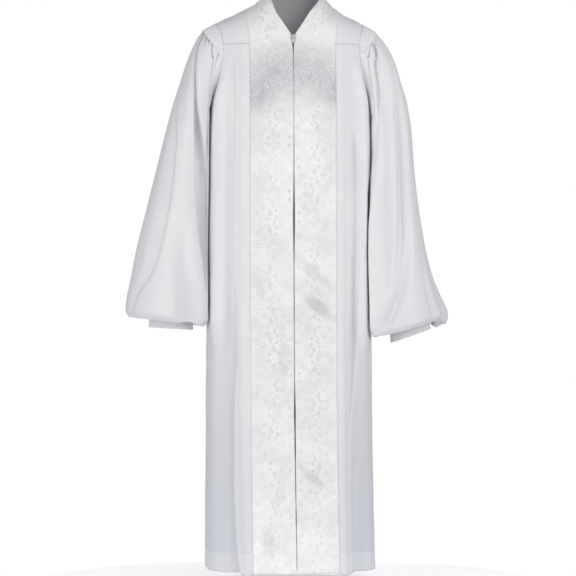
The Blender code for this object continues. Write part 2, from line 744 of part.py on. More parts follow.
def build_slider(front_y, lean):
    """Zip slider: tapered body with a bridge, leaning with the chest."""
    half, low, tall = 0.5 * SLIDER_WIDTH, 0.5 * SLIDER_LOW_WIDTH, 0.5 * SLIDER_HEIGHT
    body = bmesh.new()
    outline = ((-half, tall), (-half, 0.0), (-low, -tall), (low, -tall), (half, 0.0), (half, tall))
    floor = body.faces.new([body.verts.new((x, 0.0, z)) for x, z in outline])
    raised_face = bmesh.ops.extrude_face_region(body, geom=[floor])
    bmesh.ops.translate(body, vec=(0.0, -SLIDER_DEPTH, 0.0),
                        verts=[v for v in raised_face["geom"] if isinstance(v, bmesh.types.BMVert)])
    bmesh.ops.recalc_face_normals(body, faces=body.faces)
    mesh = bpy.data.meshes.new("zip_slider")
    body.to_mesh(mesh)
    body.free()
    slider = place("zip_slider", mesh, METAL_FINISH)

    outer_tall = BRIDGE_HOLE + 2.0 * BRIDGE_BAR
    reach = BRIDGE_REACH + BRIDGE_BAR
    sunk = 0.5 * SLIDER_DEPTH
    bridge = block("bridge_form", (BRIDGE_WIDTH, reach + sunk, outer_tall),
                   (0.0, -SLIDER_DEPTH - 0.5 * (reach - sunk), 0.0))
    hole = block("bridge_hole", (2.0 * BRIDGE_WIDTH, BRIDGE_REACH, BRIDGE_HOLE),
                 (0.0, -SLIDER_DEPTH - 0.5 * BRIDGE_REACH, 0.0))
    combine(slider, bridge, "UNION")
    combine(slider, hole, "DIFFERENCE")
    slider.location = (0.0, front_y, SLIDER_Z)
    slider.rotation_euler = (lean, 0.0, 0.0)
    for form in (bridge, hole):
        form.parent = slider


def block(name, size, middle):
    """Plain box that shapes another piece and isn't a piece itself."""
    shape = bmesh.new()
    bmesh.ops.create_cube(shape, size=1.0, matrix=Matrix.LocRotScale(Vector(middle), None, Vector(size)))
    mesh = bpy.data.meshes.new(name)
    shape.to_mesh(mesh)
    shape.free()
    form = bpy.data.objects.new(name, mesh)
    bpy.context.scene.collection.objects.link(form)
    form.hide_render = True
    form.display_type = "WIRE"
    return form


def combine(target, form, operation):
    """Boolean of a piece with a shaping form."""
    modifier = target.modifiers.new(form.name, "BOOLEAN")
    modifier.operation = operation
    modifier.solver = "EXACT"
    modifier.object = form


def build_pull(hinge):
    """Pull tab: plate with a window, hung by its top bar in the slider's bridge."""
    bar = 0.5 * TAB_THICK
    shape = bmesh.new()
    size = Vector((TAB_WIDTH, TAB_THICK, TAB_LENGTH))
    middle = Vector((0.0, 0.0, bar - 0.5 * TAB_LENGTH))
    bmesh.ops.create_cube(shape, size=1.0, matrix=Matrix.LocRotScale(middle, None, size))
    corners = [edge for edge in shape.edges
               if abs((edge.verts[0].co - edge.verts[1].co).y) > 0.5 * TAB_THICK]
    bmesh.ops.bevel(shape, geom=corners, offset=TAB_CORNER, segments=TAB_CORNER_CELLS,
                    profile=0.5, affect="EDGES", material=-1)
    mesh = bpy.data.meshes.new("zip_pull")
    shape.to_mesh(mesh)
    shape.free()
    pull = place("zip_pull", mesh, METAL_FINISH)
    window = block("pull_window", (TAB_WINDOW_WIDTH, 3.0 * TAB_THICK, TAB_WINDOW),
                   (0.0, 0.0, -bar - 0.5 * TAB_WINDOW))
    combine(pull, window, "DIFFERENCE")
    window.parent = pull
    pull.location = hinge


def main():
    """Clear the scene and build the robe."""
    for thing in list(bpy.data.objects):
        bpy.data.objects.remove(thing, do_unlink=True)
    back = back_panel_lattice()
    wall("back_panel", back, -1, -CREPE, CREPE, CREPE_FINISH)
    yoke = back_yoke_lattice()
    wall("yoke_back", yoke, -1, -CREPE, CREPE, CREPE_FINISH)
    for side, name in ((-1, "right"), (1, "left")):
        build_side(side, name, back, yoke)

    tall = 0.5 * SLIDER_HEIGHT
    low_y, high_y = (torso_y(-1, SLIDER_WIDTH, SLIDER_Z + step) for step in (-tall, tall))
    lean = -math.atan2(high_y - low_y, SLIDER_HEIGHT)
    front_y = 0.5 * (low_y + high_y) + CREPE
    build_slider(front_y, lean)
    arm = SLIDER_DEPTH + 0.5 * BRIDGE_REACH
    build_pull(Vector((0.0, front_y - arm * math.cos(lean), SLIDER_Z - arm * math.sin(lean))))


main()
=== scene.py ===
"""Dressed pulpit robe: thin cloth shells, folds, stitching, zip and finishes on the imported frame."""
import logging
import math
from dataclasses import dataclass, field
from enum import Enum
from functools import partial
from typing import NamedTuple, Sequence

import bmesh
import bpy
import numpy as np
from mathutils import Matrix, Vector


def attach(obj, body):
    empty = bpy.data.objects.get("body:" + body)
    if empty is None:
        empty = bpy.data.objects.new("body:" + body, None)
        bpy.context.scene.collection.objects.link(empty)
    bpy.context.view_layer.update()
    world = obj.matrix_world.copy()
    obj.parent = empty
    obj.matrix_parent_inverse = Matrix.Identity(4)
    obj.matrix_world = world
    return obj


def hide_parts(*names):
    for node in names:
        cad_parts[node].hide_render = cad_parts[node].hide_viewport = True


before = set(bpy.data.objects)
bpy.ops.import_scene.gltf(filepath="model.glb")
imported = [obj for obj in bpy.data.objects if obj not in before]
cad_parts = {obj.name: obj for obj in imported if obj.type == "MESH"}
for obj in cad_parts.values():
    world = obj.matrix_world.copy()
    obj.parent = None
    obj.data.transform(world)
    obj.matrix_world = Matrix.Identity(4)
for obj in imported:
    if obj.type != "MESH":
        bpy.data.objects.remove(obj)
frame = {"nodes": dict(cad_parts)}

LOG = logging.getLogger("robe")
Array = np.ndarray
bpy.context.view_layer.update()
BODY = "robe"


class Side(Enum):
    """Wearer's side: its sign along X and the end of its node names."""

    RIGHT = (-1, "right")
    LEFT = (1, "left")

    @property
    def sign(self) -> int:
        """Sign of the side's X."""
        return self.value[0]

    @property
    def word(self) -> str:
        """End of the side's node names."""
        return self.value[1]


class Toward(Enum):
    """Way a sheet's right side faces."""

    FRONT = (0.0, -1.0, 0.0)
    BACK = (0.0, 1.0, 0.0)
    UP = (0.0, 0.0, 1.0)
    AROUND = (0.0, 0.0, 0.0)


# Tables of the robe's form, shared with the solids

class Section(NamedTuple):
    """Body section: height, half width, depth to the front and to the back."""

    z: float
    half_width: float
    front: float
    back: float


class Place(NamedTuple):
    """Distance from the centre against a height."""

    z: float
    x: float


class Ring(NamedTuple):
    """Sleeve ring: share of its own oval, outer and inner point, half depth and middle in Y."""

    blend: float
    outer_x: float
    outer_z: float
    inner_x: float
    inner_z: float
    half_depth: float
    mid_y: float


class Knot(NamedTuple):
    """One point of a crease: where along the cloth, place across, half widths, how far it stands out."""

    at: float
    place: float
    near: float
    far: float
    out: float


class Pinch(NamedTuple):
    """Short slanting crease: its two ends as distance from the centre and height, half width, out."""

    x0: float
    z0: float
    x1: float
    z1: float
    half: float
    out: float


class Flute(NamedTuple):
    """Back flute: angle from the centre back, half width in degrees, height at yoke, middle and hem."""

    angle: float
    half: float
    top: float
    middle: float
    hem: float


class Cuff(NamedTuple):
    """Cuff: outer and inner point at the top and at the bottom."""

    top_out: tuple[float, float]
    top_in: tuple[float, float]
    low_out: tuple[float, float]
    low_in: tuple[float, float]


BODY_SECTIONS = (
    Section(-1.330, 0.202, 0.150, 0.146),
    Section(-1.150, 0.200, 0.144, 0.141),
    Section(-0.950, 0.1985, 0.137, 0.134),
    Section(-0.760, 0.198, 0.130, 0.127),
    Section(-0.600, 0.194, 0.125, 0.120),
    Section(-0.400, 0.193, 0.122, 0.114),
    Section(-0.212, 0.191, 0.119, 0.111),
    Section(-0.130, 0.190, 0.112, 0.106),
    Section(-0.061, 0.190, 0.102, 0.100),
)
SHOULDER_LINE = (
    Place(0.0600, 0.0670), Place(0.0480, 0.0775), Place(0.0384, 0.0860), Place(0.0288, 0.0985),
    Place(0.0192, 0.1176), Place(0.0096, 0.1340), Place(0.0000, 0.1570), Place(-0.0096, 0.1750),
)
OPENING = (
    Place(-1.330, 0.0006), Place(-1.219, 0.0006), Place(-1.186, 0.0010), Place(-1.153, 0.0006),
    Place(-1.120, 0.0009), Place(-1.054, 0.0008), Place(-1.021, 0.0015), Place(-0.988, 0.0013),
    Place(-0.938, 0.0019), Place(-0.889, 0.0011), Place(-0.855, 0.0006), Place(-0.724, 0.0006),
    Place(-0.690, 0.0009), Place(-0.600, 0.0007), Place(-0.558, 0.0011), Place(-0.525, 0.0017),
    Place(-0.470, 0.0022), Place(-0.426, 0.0016), Place(-0.393, 0.0011), Place(-0.350, 0.0007),
    Place(-0.294, 0.0006), Place(-0.255, 0.0003), Place(-0.160, 0.0002), Place(-0.105, 0.0004),
    Place(-0.091, 0.0006), Place(-0.079, 0.0011), Place(-0.068, 0.0019), Place(-0.058, 0.0028),
    Place(-0.050, 0.0040), Place(-0.042, 0.0052),
)
ARMHOLE = (
    Place(-0.212, 0.1905), Place(-0.190, 0.1850), Place(-0.160, 0.1770), Place(-0.125, 0.1690),
    Place(-0.090, 0.1640), Place(-0.061, 0.1630), Place(-0.0096, 0.1750),
)
SLEEVE_RINGS = {
    Side.RIGHT: (
        Ring(0.30, 0.2190, -0.0375, 0.1925, -0.2160, 0.075, 0.000),
        Ring(0.60, 0.2310, -0.0570, 0.1935, -0.2230, 0.080, -0.001),
        Ring(0.90, 0.2450, -0.0930, 0.1930, -0.2380, 0.085, -0.002),
        Ring(1.00, 0.2590, -0.1430, 0.1930, -0.2650, 0.091, -0.003),
        Ring(1.00, 0.2770, -0.1980, 0.1934, -0.3020, 0.097, -0.004),
        Ring(1.00, 0.2950, -0.2640, 0.1939, -0.3500, 0.102, -0.005),
        Ring(1.00, 0.3190, -0.3600, 0.1945, -0.4200, 0.108, -0.006),
        Ring(1.00, 0.3430, -0.4560, 0.1949, -0.4950, 0.113, -0.007),
        Ring(1.00, 0.3670, -0.5520, 0.1954, -0.5750, 0.118, -0.008),
        Ring(1.00, 0.3810, -0.6240, 0.1965, -0.6450, 0.121, -0.009),
        Ring(1.00, 0.3895, -0.6640, 0.1980, -0.6920, 0.121, -0.010),
        Ring(1.00, 0.3930, -0.6950, 0.1992, -0.7200, 0.117, -0.010),
        Ring(1.00, 0.3850, -0.7120, 0.2060, -0.7350, 0.104, -0.010),
    ),
    Side.LEFT: (
        Ring(0.30, 0.2190, -0.0375, 0.1925, -0.2160, 0.075, 0.000),
        Ring(0.60, 0.2350, -0.0570, 0.1935, -0.2230, 0.080, -0.001),
        Ring(0.90, 0.2530, -0.0930, 0.1930, -0.2380, 0.085, -0.002),
        Ring(1.00, 0.2670, -0.1430, 0.1930, -0.2650, 0.091, -0.003),
        Ring(1.00, 0.2830, -0.1980, 0.1934, -0.3020, 0.097, -0.004),
        Ring(1.00, 0.2930, -0.2640, 0.1939, -0.3500, 0.102, -0.005),
        Ring(1.00, 0.3000, -0.3600, 0.1945, -0.4200, 0.108, -0.006),
        Ring(1.00, 0.3110, -0.4560, 0.1949, -0.4950, 0.113, -0.007),
        Ring(1.00, 0.3240, -0.5520, 0.1954, -0.5780, 0.117, -0.008),
        Ring(1.00, 0.3380, -0.6200, 0.1965, -0.6580, 0.119, -0.009),
        Ring(1.00, 0.3510, -0.6640, 0.1985, -0.7150, 0.118, -0.010),
        Ring(1.00, 0.3630, -0.7040, 0.2005, -0.7480, 0.114, -0.010),
        Ring(1.00, 0.3560, -0.7190, 0.2080, -0.7610, 0.102, -0.010),
    ),
}
CUFFS = {
    Side.RIGHT: Cuff((0.335, -0.690), (0.233, -0.698), (0.337, -0.737), (0.231, -0.743)),
    Side.LEFT: Cuff((0.337, -0.690), (0.242, -0.721), (0.340, -0.740), (0.244, -0.774)),
}

# Folds, placed from the photograph; those of hidden sides are of the same kind

FRONT_CREASES = {
    Side.RIGHT: (
        (Knot(-1.317, 0.117, 0.015, 0.014, 0.0045), Knot(-0.90, 0.120, 0.016, 0.018, 0.0045),
         Knot(-0.55, 0.119, 0.016, 0.015, 0.0028), Knot(-0.062, 0.118, 0.014, 0.012, 0.0008)),
        (Knot(-1.317, 0.138, 0.007, 0.045, -0.0260), Knot(-1.238, 0.147, 0.007, 0.045, -0.0280),
         Knot(-1.097, 0.1505, 0.007, 0.045, -0.0290), Knot(-0.908, 0.147, 0.007, 0.046, -0.0290),
         Knot(-0.81, 0.141, 0.007, 0.046, -0.0270), Knot(-0.70, 0.140, 0.007, 0.044, -0.0190),
         Knot(-0.63, 0.145, 0.008, 0.040, -0.0120), Knot(-0.56, 0.149, 0.009, 0.036, -0.0085),
         Knot(-0.36, 0.147, 0.010, 0.036, -0.0080), Knot(-0.20, 0.145, 0.010, 0.032, -0.0070),
         Knot(-0.10, 0.144, 0.010, 0.022, -0.0030)),
        (Knot(-1.317, 0.177, 0.014, 0.012, -0.0040), Knot(-1.00, 0.176, 0.014, 0.012, -0.0032),
         Knot(-0.78, 0.176, 0.013, 0.012, 0.0)),
        (Knot(-0.80, 0.187, 0.012, 0.010, 0.0), Knot(-0.73, 0.189, 0.012, 0.012, 0.0030),
         Knot(-0.57, 0.188, 0.012, 0.012, 0.0040), Knot(-0.28, 0.187, 0.012, 0.012, 0.0040),
         Knot(-0.21, 0.182, 0.012, 0.010, 0.0040),
         Knot(-0.17, 0.173, 0.010, 0.010, 0.0030), Knot(-0.14, 0.165, 0.010, 0.010, 0.0)),
    ),
    Side.LEFT: (
        (Knot(-1.317, 0.116, 0.014, 0.014, 0.0040), Knot(-0.80, 0.116, 0.015, 0.014, 0.0040),
         Knot(-0.30, 0.117, 0.014, 0.013, 0.0022), Knot(-0.062, 0.117, 0.012, 0.012, 0.0006)),
        (Knot(-1.02, 0.1290, 0.005, 0.004, 0.0), Knot(-0.924, 0.1362, 0.008, 0.005, -0.0075),
         Knot(-0.844, 0.1433, 0.014, 0.006, -0.0130), Knot(-0.726, 0.1528, 0.021, 0.006, -0.0185),
         Knot(-0.608, 0.1564, 0.022, 0.006, -0.0195), Knot(-0.53, 0.1600, 0.024, 0.008, -0.0205),
         Knot(-0.46, 0.1623, 0.027, 0.009, -0.0205), Knot(-0.40, 0.1611, 0.027, 0.010, -0.0190),
         Knot(-0.341, 0.1552, 0.022, 0.009, -0.0150), Knot(-0.306, 0.1493, 0.015, 0.008, -0.0100),
         Knot(-0.25, 0.1430, 0.008, 0.007, 0.0)),
        (Knot(-1.317, 0.157, 0.026, 0.034, -0.0170), Knot(-1.15, 0.156, 0.026, 0.034, -0.0150),
         Knot(-1.00, 0.155, 0.024, 0.032, -0.0080), Knot(-0.86, 0.154, 0.020, 0.030, 0.0)),
        (Knot(-1.00, 0.173, 0.014, 0.013, 0.0), Knot(-0.78, 0.172, 0.014, 0.013, 0.0030),
         Knot(-0.60, 0.171, 0.014, 0.013, 0.0045), Knot(-0.36, 0.170, 0.014, 0.013, 0.0040),
         Knot(-0.12, 0.168, 0.012, 0.010, 0.0)),
    ),
}
BAND_PINCHES = {
    Side.RIGHT: (
        Pinch(0.012, -0.76, 0.016, -0.91, 0.014, -0.0018),
        Pinch(0.014, -1.18, 0.020, -1.26, 0.014, -0.0016),
        Pinch(0.050, -0.20, 0.072, -0.13, 0.018, -0.0012),
        Pinch(0.108, -1.095, 0.134, -1.122, 0.010, -0.0016),
    ),
    Side.LEFT: (
        Pinch(0.006, -0.592, 0.078, -0.672, 0.0110, -0.0042),
        Pinch(0.010, -0.614, 0.090, -0.702, 0.0105, 0.0026),
        Pinch(0.008, -0.684, 0.100, -0.732, 0.0100, -0.0050),
        Pinch(0.012, -0.706, 0.098, -0.762, 0.0105, 0.0030),
        Pinch(0.008, -1.052, 0.066, -1.122, 0.0110, -0.0036),
        Pinch(0.030, -1.090, 0.080, -1.160, 0.0120, 0.0020),
    ),
}
SLEEVE_CREASES = {
    Side.RIGHT: (
        (Knot(0.1, 64, 3, 3, -0.0030), Knot(1.3, 76, 3, 4, -0.0070), Knot(2.0, 98, 4, 5, -0.0090),
         Knot(2.9, 130, 6, 8, -0.0090), Knot(3.9, 150, 8, 10, 0.0)),
        (Knot(0.1, 77, 3, 3, -0.0020), Knot(1.1, 88, 3, 4, -0.0060), Knot(2.0, 112, 4, 6, -0.0060),
         Knot(2.9, 138, 5, 6, 0.0)),
        (Knot(3.9, 8, 14, 7, 0.0), Knot(4.9, 24, 20, 8, -0.0036), Knot(6.2, 51, 26, 9, -0.0056),
         Knot(7.2, 61, 28, 10, -0.0066), Knot(8.1, 63, 28, 10, -0.0072), Knot(9.0, 61, 26, 10, -0.0070),
         Knot(9.8, 51, 22, 10, -0.0065), Knot(10.6, 36, 18, 10, -0.0050), Knot(11.8, 31, 14, 9, -0.0030),
         Knot(12.9, 28, 12, 9, 0.0)),
        (Knot(7.6, 96, 20, 16, 0.0), Knot(9.2, 108, 30, 24, -0.0150), Knot(10.4, 120, 34, 26, -0.0250),
         Knot(11.8, 124, 34, 26, -0.0240), Knot(13.4, 122, 22, 20, 0.0)),
        (Knot(1.2, 292, 12, 12, 0.0), Knot(3.0, 282, 17, 17, -0.0070), Knot(6.0, 262, 21, 20, -0.0130),
         Knot(9.5, 250, 22, 22, -0.0140), Knot(13.0, 242, 18, 18, 0.0)),
        (Knot(3.2, 324, 13, 13, 0.0), Knot(6.0, 314, 18, 18, -0.0075), Knot(9.0, 303, 19, 19, -0.0105),
         Knot(13.0, 298, 16, 16, 0.0)),
        (Knot(4.6, 224, 12, 12, 0.0), Knot(8.0, 213, 17, 16, -0.0090), Knot(12.4, 208, 15, 15, 0.0)),
        (Knot(8.0, 348, 12, 12, 0.0), Knot(10.4, 342, 16, 16, -0.0060), Knot(12.8, 338, 13, 13, 0.0)),
    ),
    Side.LEFT: (
        (Knot(0.1, 66, 3, 3, -0.0030), Knot(1.2, 80, 3, 4, -0.0070), Knot(1.9, 116, 5, 7, -0.0080),
         Knot(2.8, 146, 12, 14, -0.0050), Knot(3.6, 158, 12, 14, 0.0)),
        (Knot(0.2, 50, 3, 5, -0.0030), Knot(1.0, 56, 6, 8, -0.0090), Knot(1.7, 68, 9, 10, -0.0120),
         Knot(2.6, 104, 12, 14, -0.0110), Knot(3.6, 134, 14, 15, -0.0080), Knot(4.8, 150, 15, 14, -0.0050),
         Knot(6.4, 158, 13, 13, 0.0)),
        (Knot(2.2, 30, 10, 10, 0.0), Knot(3.2, 46, 18, 13, -0.0060), Knot(4.9, 74, 26, 16, -0.0140),
         Knot(6.2, 76, 28, 17, -0.0190), Knot(7.3, 79, 29, 18, -0.0215), Knot(8.6, 88, 29, 19, -0.0215),
         Knot(10.1, 108, 27, 21, -0.0200), Knot(11.4, 134, 22, 20, -0.0140), Knot(12.9, 156, 16, 14, 0.0)),
        (Knot(8.4, 38, 10, 8, 0.0), Knot(9.4, 43, 12, 9, -0.0040), Knot(10.6, 47, 14, 9, -0.0060),
         Knot(11.8, 48, 14, 9, -0.0050), Knot(13.2, 48, 12, 10, 0.0)),
        (Knot(6.6, 346, 24, 24, 0.0), Knot(8.6, 347, 28, 28, 0.0080), Knot(10.8, 349, 30, 29, 0.0170),
         Knot(12.0, 351, 30, 25, 0.0240), Knot(12.6, 352, 30, 24, 0.0270), Knot(13.1, 352, 30, 26, 0.0160),
         Knot(13.6, 350, 30, 28, 0.0)),
        (Knot(1.2, 292, 12, 12, 0.0), Knot(3.0, 284, 17, 17, -0.0070), Knot(5.8, 262, 20, 20, -0.0120),
         Knot(9.0, 252, 21, 21, -0.0110), Knot(13.0, 246, 17, 17, 0.0)),
        (Knot(5.6, 294, 13, 13, 0.0), Knot(8.0, 291, 18, 18, -0.0090), Knot(12.0, 286, 17, 17, -0.0095),
         Knot(13.5, 285, 13, 13, 0.0)),
        (Knot(4.8, 222, 13, 13, 0.0), Knot(8.6, 211, 17, 16, -0.0100), Knot(12.6, 206, 15, 15, 0.0)),
    ),
}
FRONT_DEPTHS = {
    Side.RIGHT: (
        (Knot(-0.82, 0.184, 0.030, 0.0120, 0.0), Knot(-0.70, 0.187, 0.040, 0.0120, -0.0260),
         Knot(-0.50, 0.188, 0.044, 0.0120, -0.0340), Knot(-0.30, 0.186, 0.044, 0.0120, -0.0310),
         Knot(-0.23, 0.184, 0.036, 0.0120, -0.0260), Knot(-0.19, 0.178, 0.030, 0.0120, -0.0200),
         Knot(-0.16, 0.170, 0.026, 0.0120, -0.0140), Knot(-0.13, 0.163, 0.022, 0.0120, -0.0080),
         Knot(-0.09, 0.158, 0.020, 0.0120, 0.0)),
    ),
    Side.LEFT: (
        (Knot(-0.82, 0.180, 0.030, 0.0100, 0.0), Knot(-0.70, 0.178, 0.040, 0.0110, -0.0200),
         Knot(-0.60, 0.174, 0.040, 0.0120, -0.0230), Knot(-0.50, 0.174, 0.040, 0.0120, -0.0260),
         Knot(-0.41, 0.179, 0.042, 0.0120, -0.0290), Knot(-0.36, 0.185, 0.044, 0.0120, -0.0320),
         Knot(-0.30, 0.187, 0.044, 0.0120, -0.0330),
         Knot(-0.23, 0.185, 0.036, 0.0120, -0.0270), Knot(-0.19, 0.179, 0.030, 0.0120, -0.0210),
         Knot(-0.16, 0.171, 0.026, 0.0120, -0.0150), Knot(-0.13, 0.164, 0.022, 0.0120, -0.0090),
         Knot(-0.09, 0.158, 0.020, 0.0120, 0.0)),
    ),
}
CAP_FRONT_WIDTHS = (
    Place(-0.0765, 0.0012), Place(-0.0740, 0.0090), Place(-0.0670, 0.0180), Place(-0.0410, 0.0320),
    Place(-0.0180, 0.0380), Place(0.0, 0.0380),
)
SLEEVE_DEPTHS = {
    Side.RIGHT: (
        (Knot(0.3, 30, 3, 3, 0.0020), Knot(1.4, 33, 3, 4, 0.0060), Knot(2.4, 43, 3, 6, 0.0080),
         Knot(2.9, 54, 3, 8, 0.0100), Knot(3.8, 76, 4, 16, 0.0150), Knot(5.1, 95, 4, 34, 0.0390),
         Knot(6.3, 107, 4, 46, 0.0490), Knot(7.4, 119, 5, 50, 0.0450), Knot(8.5, 133, 5, 42, 0.0310),
         Knot(9.2, 145, 6, 30, 0.0160), Knot(10.2, 157, 8, 16, 0.0)),
        (Knot(1.2, 26, 16, 3, 0.0), Knot(2.9, 51, 18, 3, 0.0030), Knot(5.1, 92, 24, 3, 0.0060),
         Knot(7.4, 115, 28, 3, 0.0060), Knot(9.2, 140, 24, 4, 0.0)),
        (Knot(1.2, 150, 26, 26, 0.0), Knot(2.6, 156, 26, 22, -0.0200), Knot(4.0, 160, 24, 18, -0.0290),
         Knot(5.2, 162, 22, 16, -0.0320), Knot(6.4, 165, 22, 14, -0.0290), Knot(7.6, 166, 22, 13, -0.0200),
         Knot(9.0, 166, 20, 13, -0.0190), Knot(11.5, 166, 18, 13, -0.0170), Knot(13.2, 166, 18, 13, 0.0)),
    ),
    Side.LEFT: (
        (Knot(0.2, 150, 40, 26, 0.0), Knot(1.2, 152, 42, 24, -0.0110), Knot(2.2, 155, 44, 20, -0.0250),
         Knot(3.2, 157, 46, 18, -0.0370), Knot(4.4, 158, 46, 17, -0.0420), Knot(5.5, 158, 44, 17, -0.0420),
         Knot(6.4, 158, 42, 18, -0.0410), Knot(7.4, 160, 38, 18, -0.0410), Knot(8.4, 160, 38, 18, -0.0385),
         Knot(10.0, 160, 36, 18, -0.0355), Knot(11.6, 160, 34, 18, -0.0330), Knot(12.7, 160, 32, 18, -0.0270),
         Knot(13.8, 158, 30, 20, 0.0)),
        (Knot(9.6, 22, 22, 22, 0.0), Knot(11.0, 22, 24, 24, -0.0080), Knot(12.0, 22, 26, 24, -0.0150),
         Knot(12.8, 22, 26, 24, -0.0130), Knot(13.6, 22, 26, 24, 0.0)),
    ),
}
SLEEVE_CLOSES = {
    Side.RIGHT: (
        (Knot(1.5, 158, 28, 22, 0.0), Knot(3.0, 160, 28, 22, 0.0020), Knot(6.0, 160, 28, 20, 0.0020),
         Knot(8.4, 160, 26, 20, 0.0015), Knot(10.0, 160, 26, 20, -0.0010), Knot(12.0, 162, 24, 18, -0.0035),
         Knot(13.2, 160, 22, 18, 0.0)),
    ),
    Side.LEFT: (
        (Knot(5.6, 158, 28, 20, 0.0), Knot(6.6, 156, 28, 21, -0.0050), Knot(7.4, 152, 28, 22, -0.0140),
         Knot(8.2, 150, 28, 22, -0.0215), Knot(10.0, 150, 28, 22, -0.0230), Knot(11.6, 152, 28, 20, -0.0240),
         Knot(12.7, 154, 28, 20, -0.0225), Knot(13.8, 156, 26, 18, 0.0)),
        (Knot(0.4, 154, 22, 18, 0.0), Knot(2.0, 158, 22, 16, -0.0030), Knot(3.4, 161, 18, 13, -0.0040),
         Knot(5.5, 162, 15, 11, -0.0050), Knot(6.5, 162, 15, 11, -0.0050), Knot(7.3, 162, 15, 11, -0.0030),
         Knot(8.2, 162, 15, 11, 0.0)),
    ),
}
BACK_FLUTES = (
    Flute(-71.0, 7.0, 0.0050, 0.0080, 0.012), Flute(-57.5, 7.5, 0.0068, 0.0135, 0.019),
    Flute(-43.0, 8.0, 0.0070, 0.0140, 0.024), Flute(-29.0, 7.0, 0.0060, 0.0150, 0.020),
    Flute(-14.5, 8.0, 0.0070, 0.0145, 0.025), Flute(0.0, 7.0, 0.0060, 0.0120, 0.021),
    Flute(14.0, 7.5, 0.0070, 0.0155, 0.024), Flute(28.5, 8.0, 0.0068, 0.0120, 0.019),
    Flute(43.5, 7.5, 0.0060, 0.0150, 0.025), Flute(57.0, 7.0, 0.0070, 0.0125, 0.018),
    Flute(70.5, 7.0, 0.0050, 0.0085, 0.013),
)


def curve(keys: Sequence[float], values: Sequence[float], at: Array | float) -> Array:
    """Smooth, never overshooting curve through a table.

    Args:
        keys: Rising positions of the table's rows.
        values: Value of each row.
        at: Where the curve is wanted.

    Returns:
        The value at each place.
    """
    x, y = np.asarray(keys, float), np.asarray(values, float)
    step = np.diff(x)
    slope = np.diff(y) / step
    tangent = np.empty_like(y)
    tangent[0], tangent[-1] = slope[0], slope[-1]
    product = slope[:-1] * slope[1:]
    total = slope[:-1] + slope[1:]
    safe = np.where(np.abs(total) > 1e-12, total, 1.0)
    tangent[1:-1] = np.where(product > 0.0, 2.0 * product / safe, 0.0)
    place = np.clip(np.asarray(at, float), x[0], x[-1])
    row = np.clip(np.searchsorted(x, place, side="right") - 1, 0, len(step) - 1)
    t = (place - x[row]) / step[row]
    return ((2 * t**3 - 3 * t**2 + 1) * y[row] + (t**3 - 2 * t**2 + t) * step[row] * tangent[row]
            + (3 * t**2 - 2 * t**3) * y[row + 1] + (t**3 - t**2) * step[row] * tangent[row + 1])


def of_table(table: Sequence[NamedTuple], key: str, value: str, at: Array | float) -> Array:
    """Smooth value of a table's column against another column, in either order."""
    rows = sorted(table, key=lambda row: getattr(row, key))
    return curve([getattr(row, key) for row in rows], [getattr(row, value) for row in rows], at)


def shares(count: int) -> Array:
    """Even shares from 0 to 1 in a number of steps."""
    return np.linspace(0.0, 1.0, count + 1)


def blend(start: Array, end: Array, share: Array | float) -> Array:
    """Value part of the way from start to end."""
    return start + (end - start) * share


def hump(offset: Array, near: Array | float, far: Array | float) -> Array:
    """Smooth hump of height 1 with its own half width on each side."""
    half = np.where(offset < 0.0, near, far)
    return np.cos(0.5 * math.pi * np.clip(np.abs(offset) / half, 0.0, 1.0)) ** 2


def round_off(share: Array, power: float) -> Array:
    """Height of a unit superellipse at a share of its width."""
    return np.clip(1.0 - np.clip(np.abs(share), 0.0, 1.0) ** power, 0.0, None) ** (1.0 / power)


def crease_field(creases: Sequence[Sequence[Knot]], at: Array, place: Array, turn: float = 0.0) -> Array:
    """How far listed creases stand out over a sheet.

    Args:
        creases: Creases, each a row of knots with rising or falling positions.
        at: Position along the cloth of each point.
        place: Place across of each point.
        turn: A full turn, where the place is an angle that wraps.

    Returns:
        The sum of the creases at each point.
    """
    total = np.zeros(np.broadcast(at, place).shape)
    for crease in creases:
        first, last = crease[0].at, crease[-1].at
        inside = (at >= min(first, last)) & (at <= max(first, last))
        offset = place - of_table(crease, "at", "place", at)
        if turn:
            offset = (offset + 0.5 * turn) % turn - 0.5 * turn
        height = hump(offset, of_table(crease, "at", "near", at), of_table(crease, "at", "far", at))
        total = total + np.where(inside, height * of_table(crease, "at", "out", at), 0.0)
    return total


PINCH_POWER = 0.7


def pinch_field(pinches: Sequence[Pinch], x: Array, z: Array) -> Array:
    """How far short slanting creases stand out at a distance from the centre and a height.

    Args:
        pinches: The creases.
        x: Distance from the centre of each point.
        z: Its height.

    Returns:
        The sum of the creases at each point.
    """
    total = np.zeros(np.broadcast(x, z).shape)
    for pinch in pinches:
        run = np.array((pinch.x1 - pinch.x0, pinch.z1 - pinch.z0))
        length = float(np.hypot(*run))
        along = ((x - pinch.x0) * run[0] + (z - pinch.z0) * run[1]) / length**2
        aside = ((x - pinch.x0) * run[1] - (z - pinch.z0) * run[0]) / length
        fade = np.sin(math.pi * np.clip(along, 0.0, 1.0)) ** PINCH_POWER
        total = total + pinch.out * fade * hump(aside, pinch.half, pinch.half)
    return total


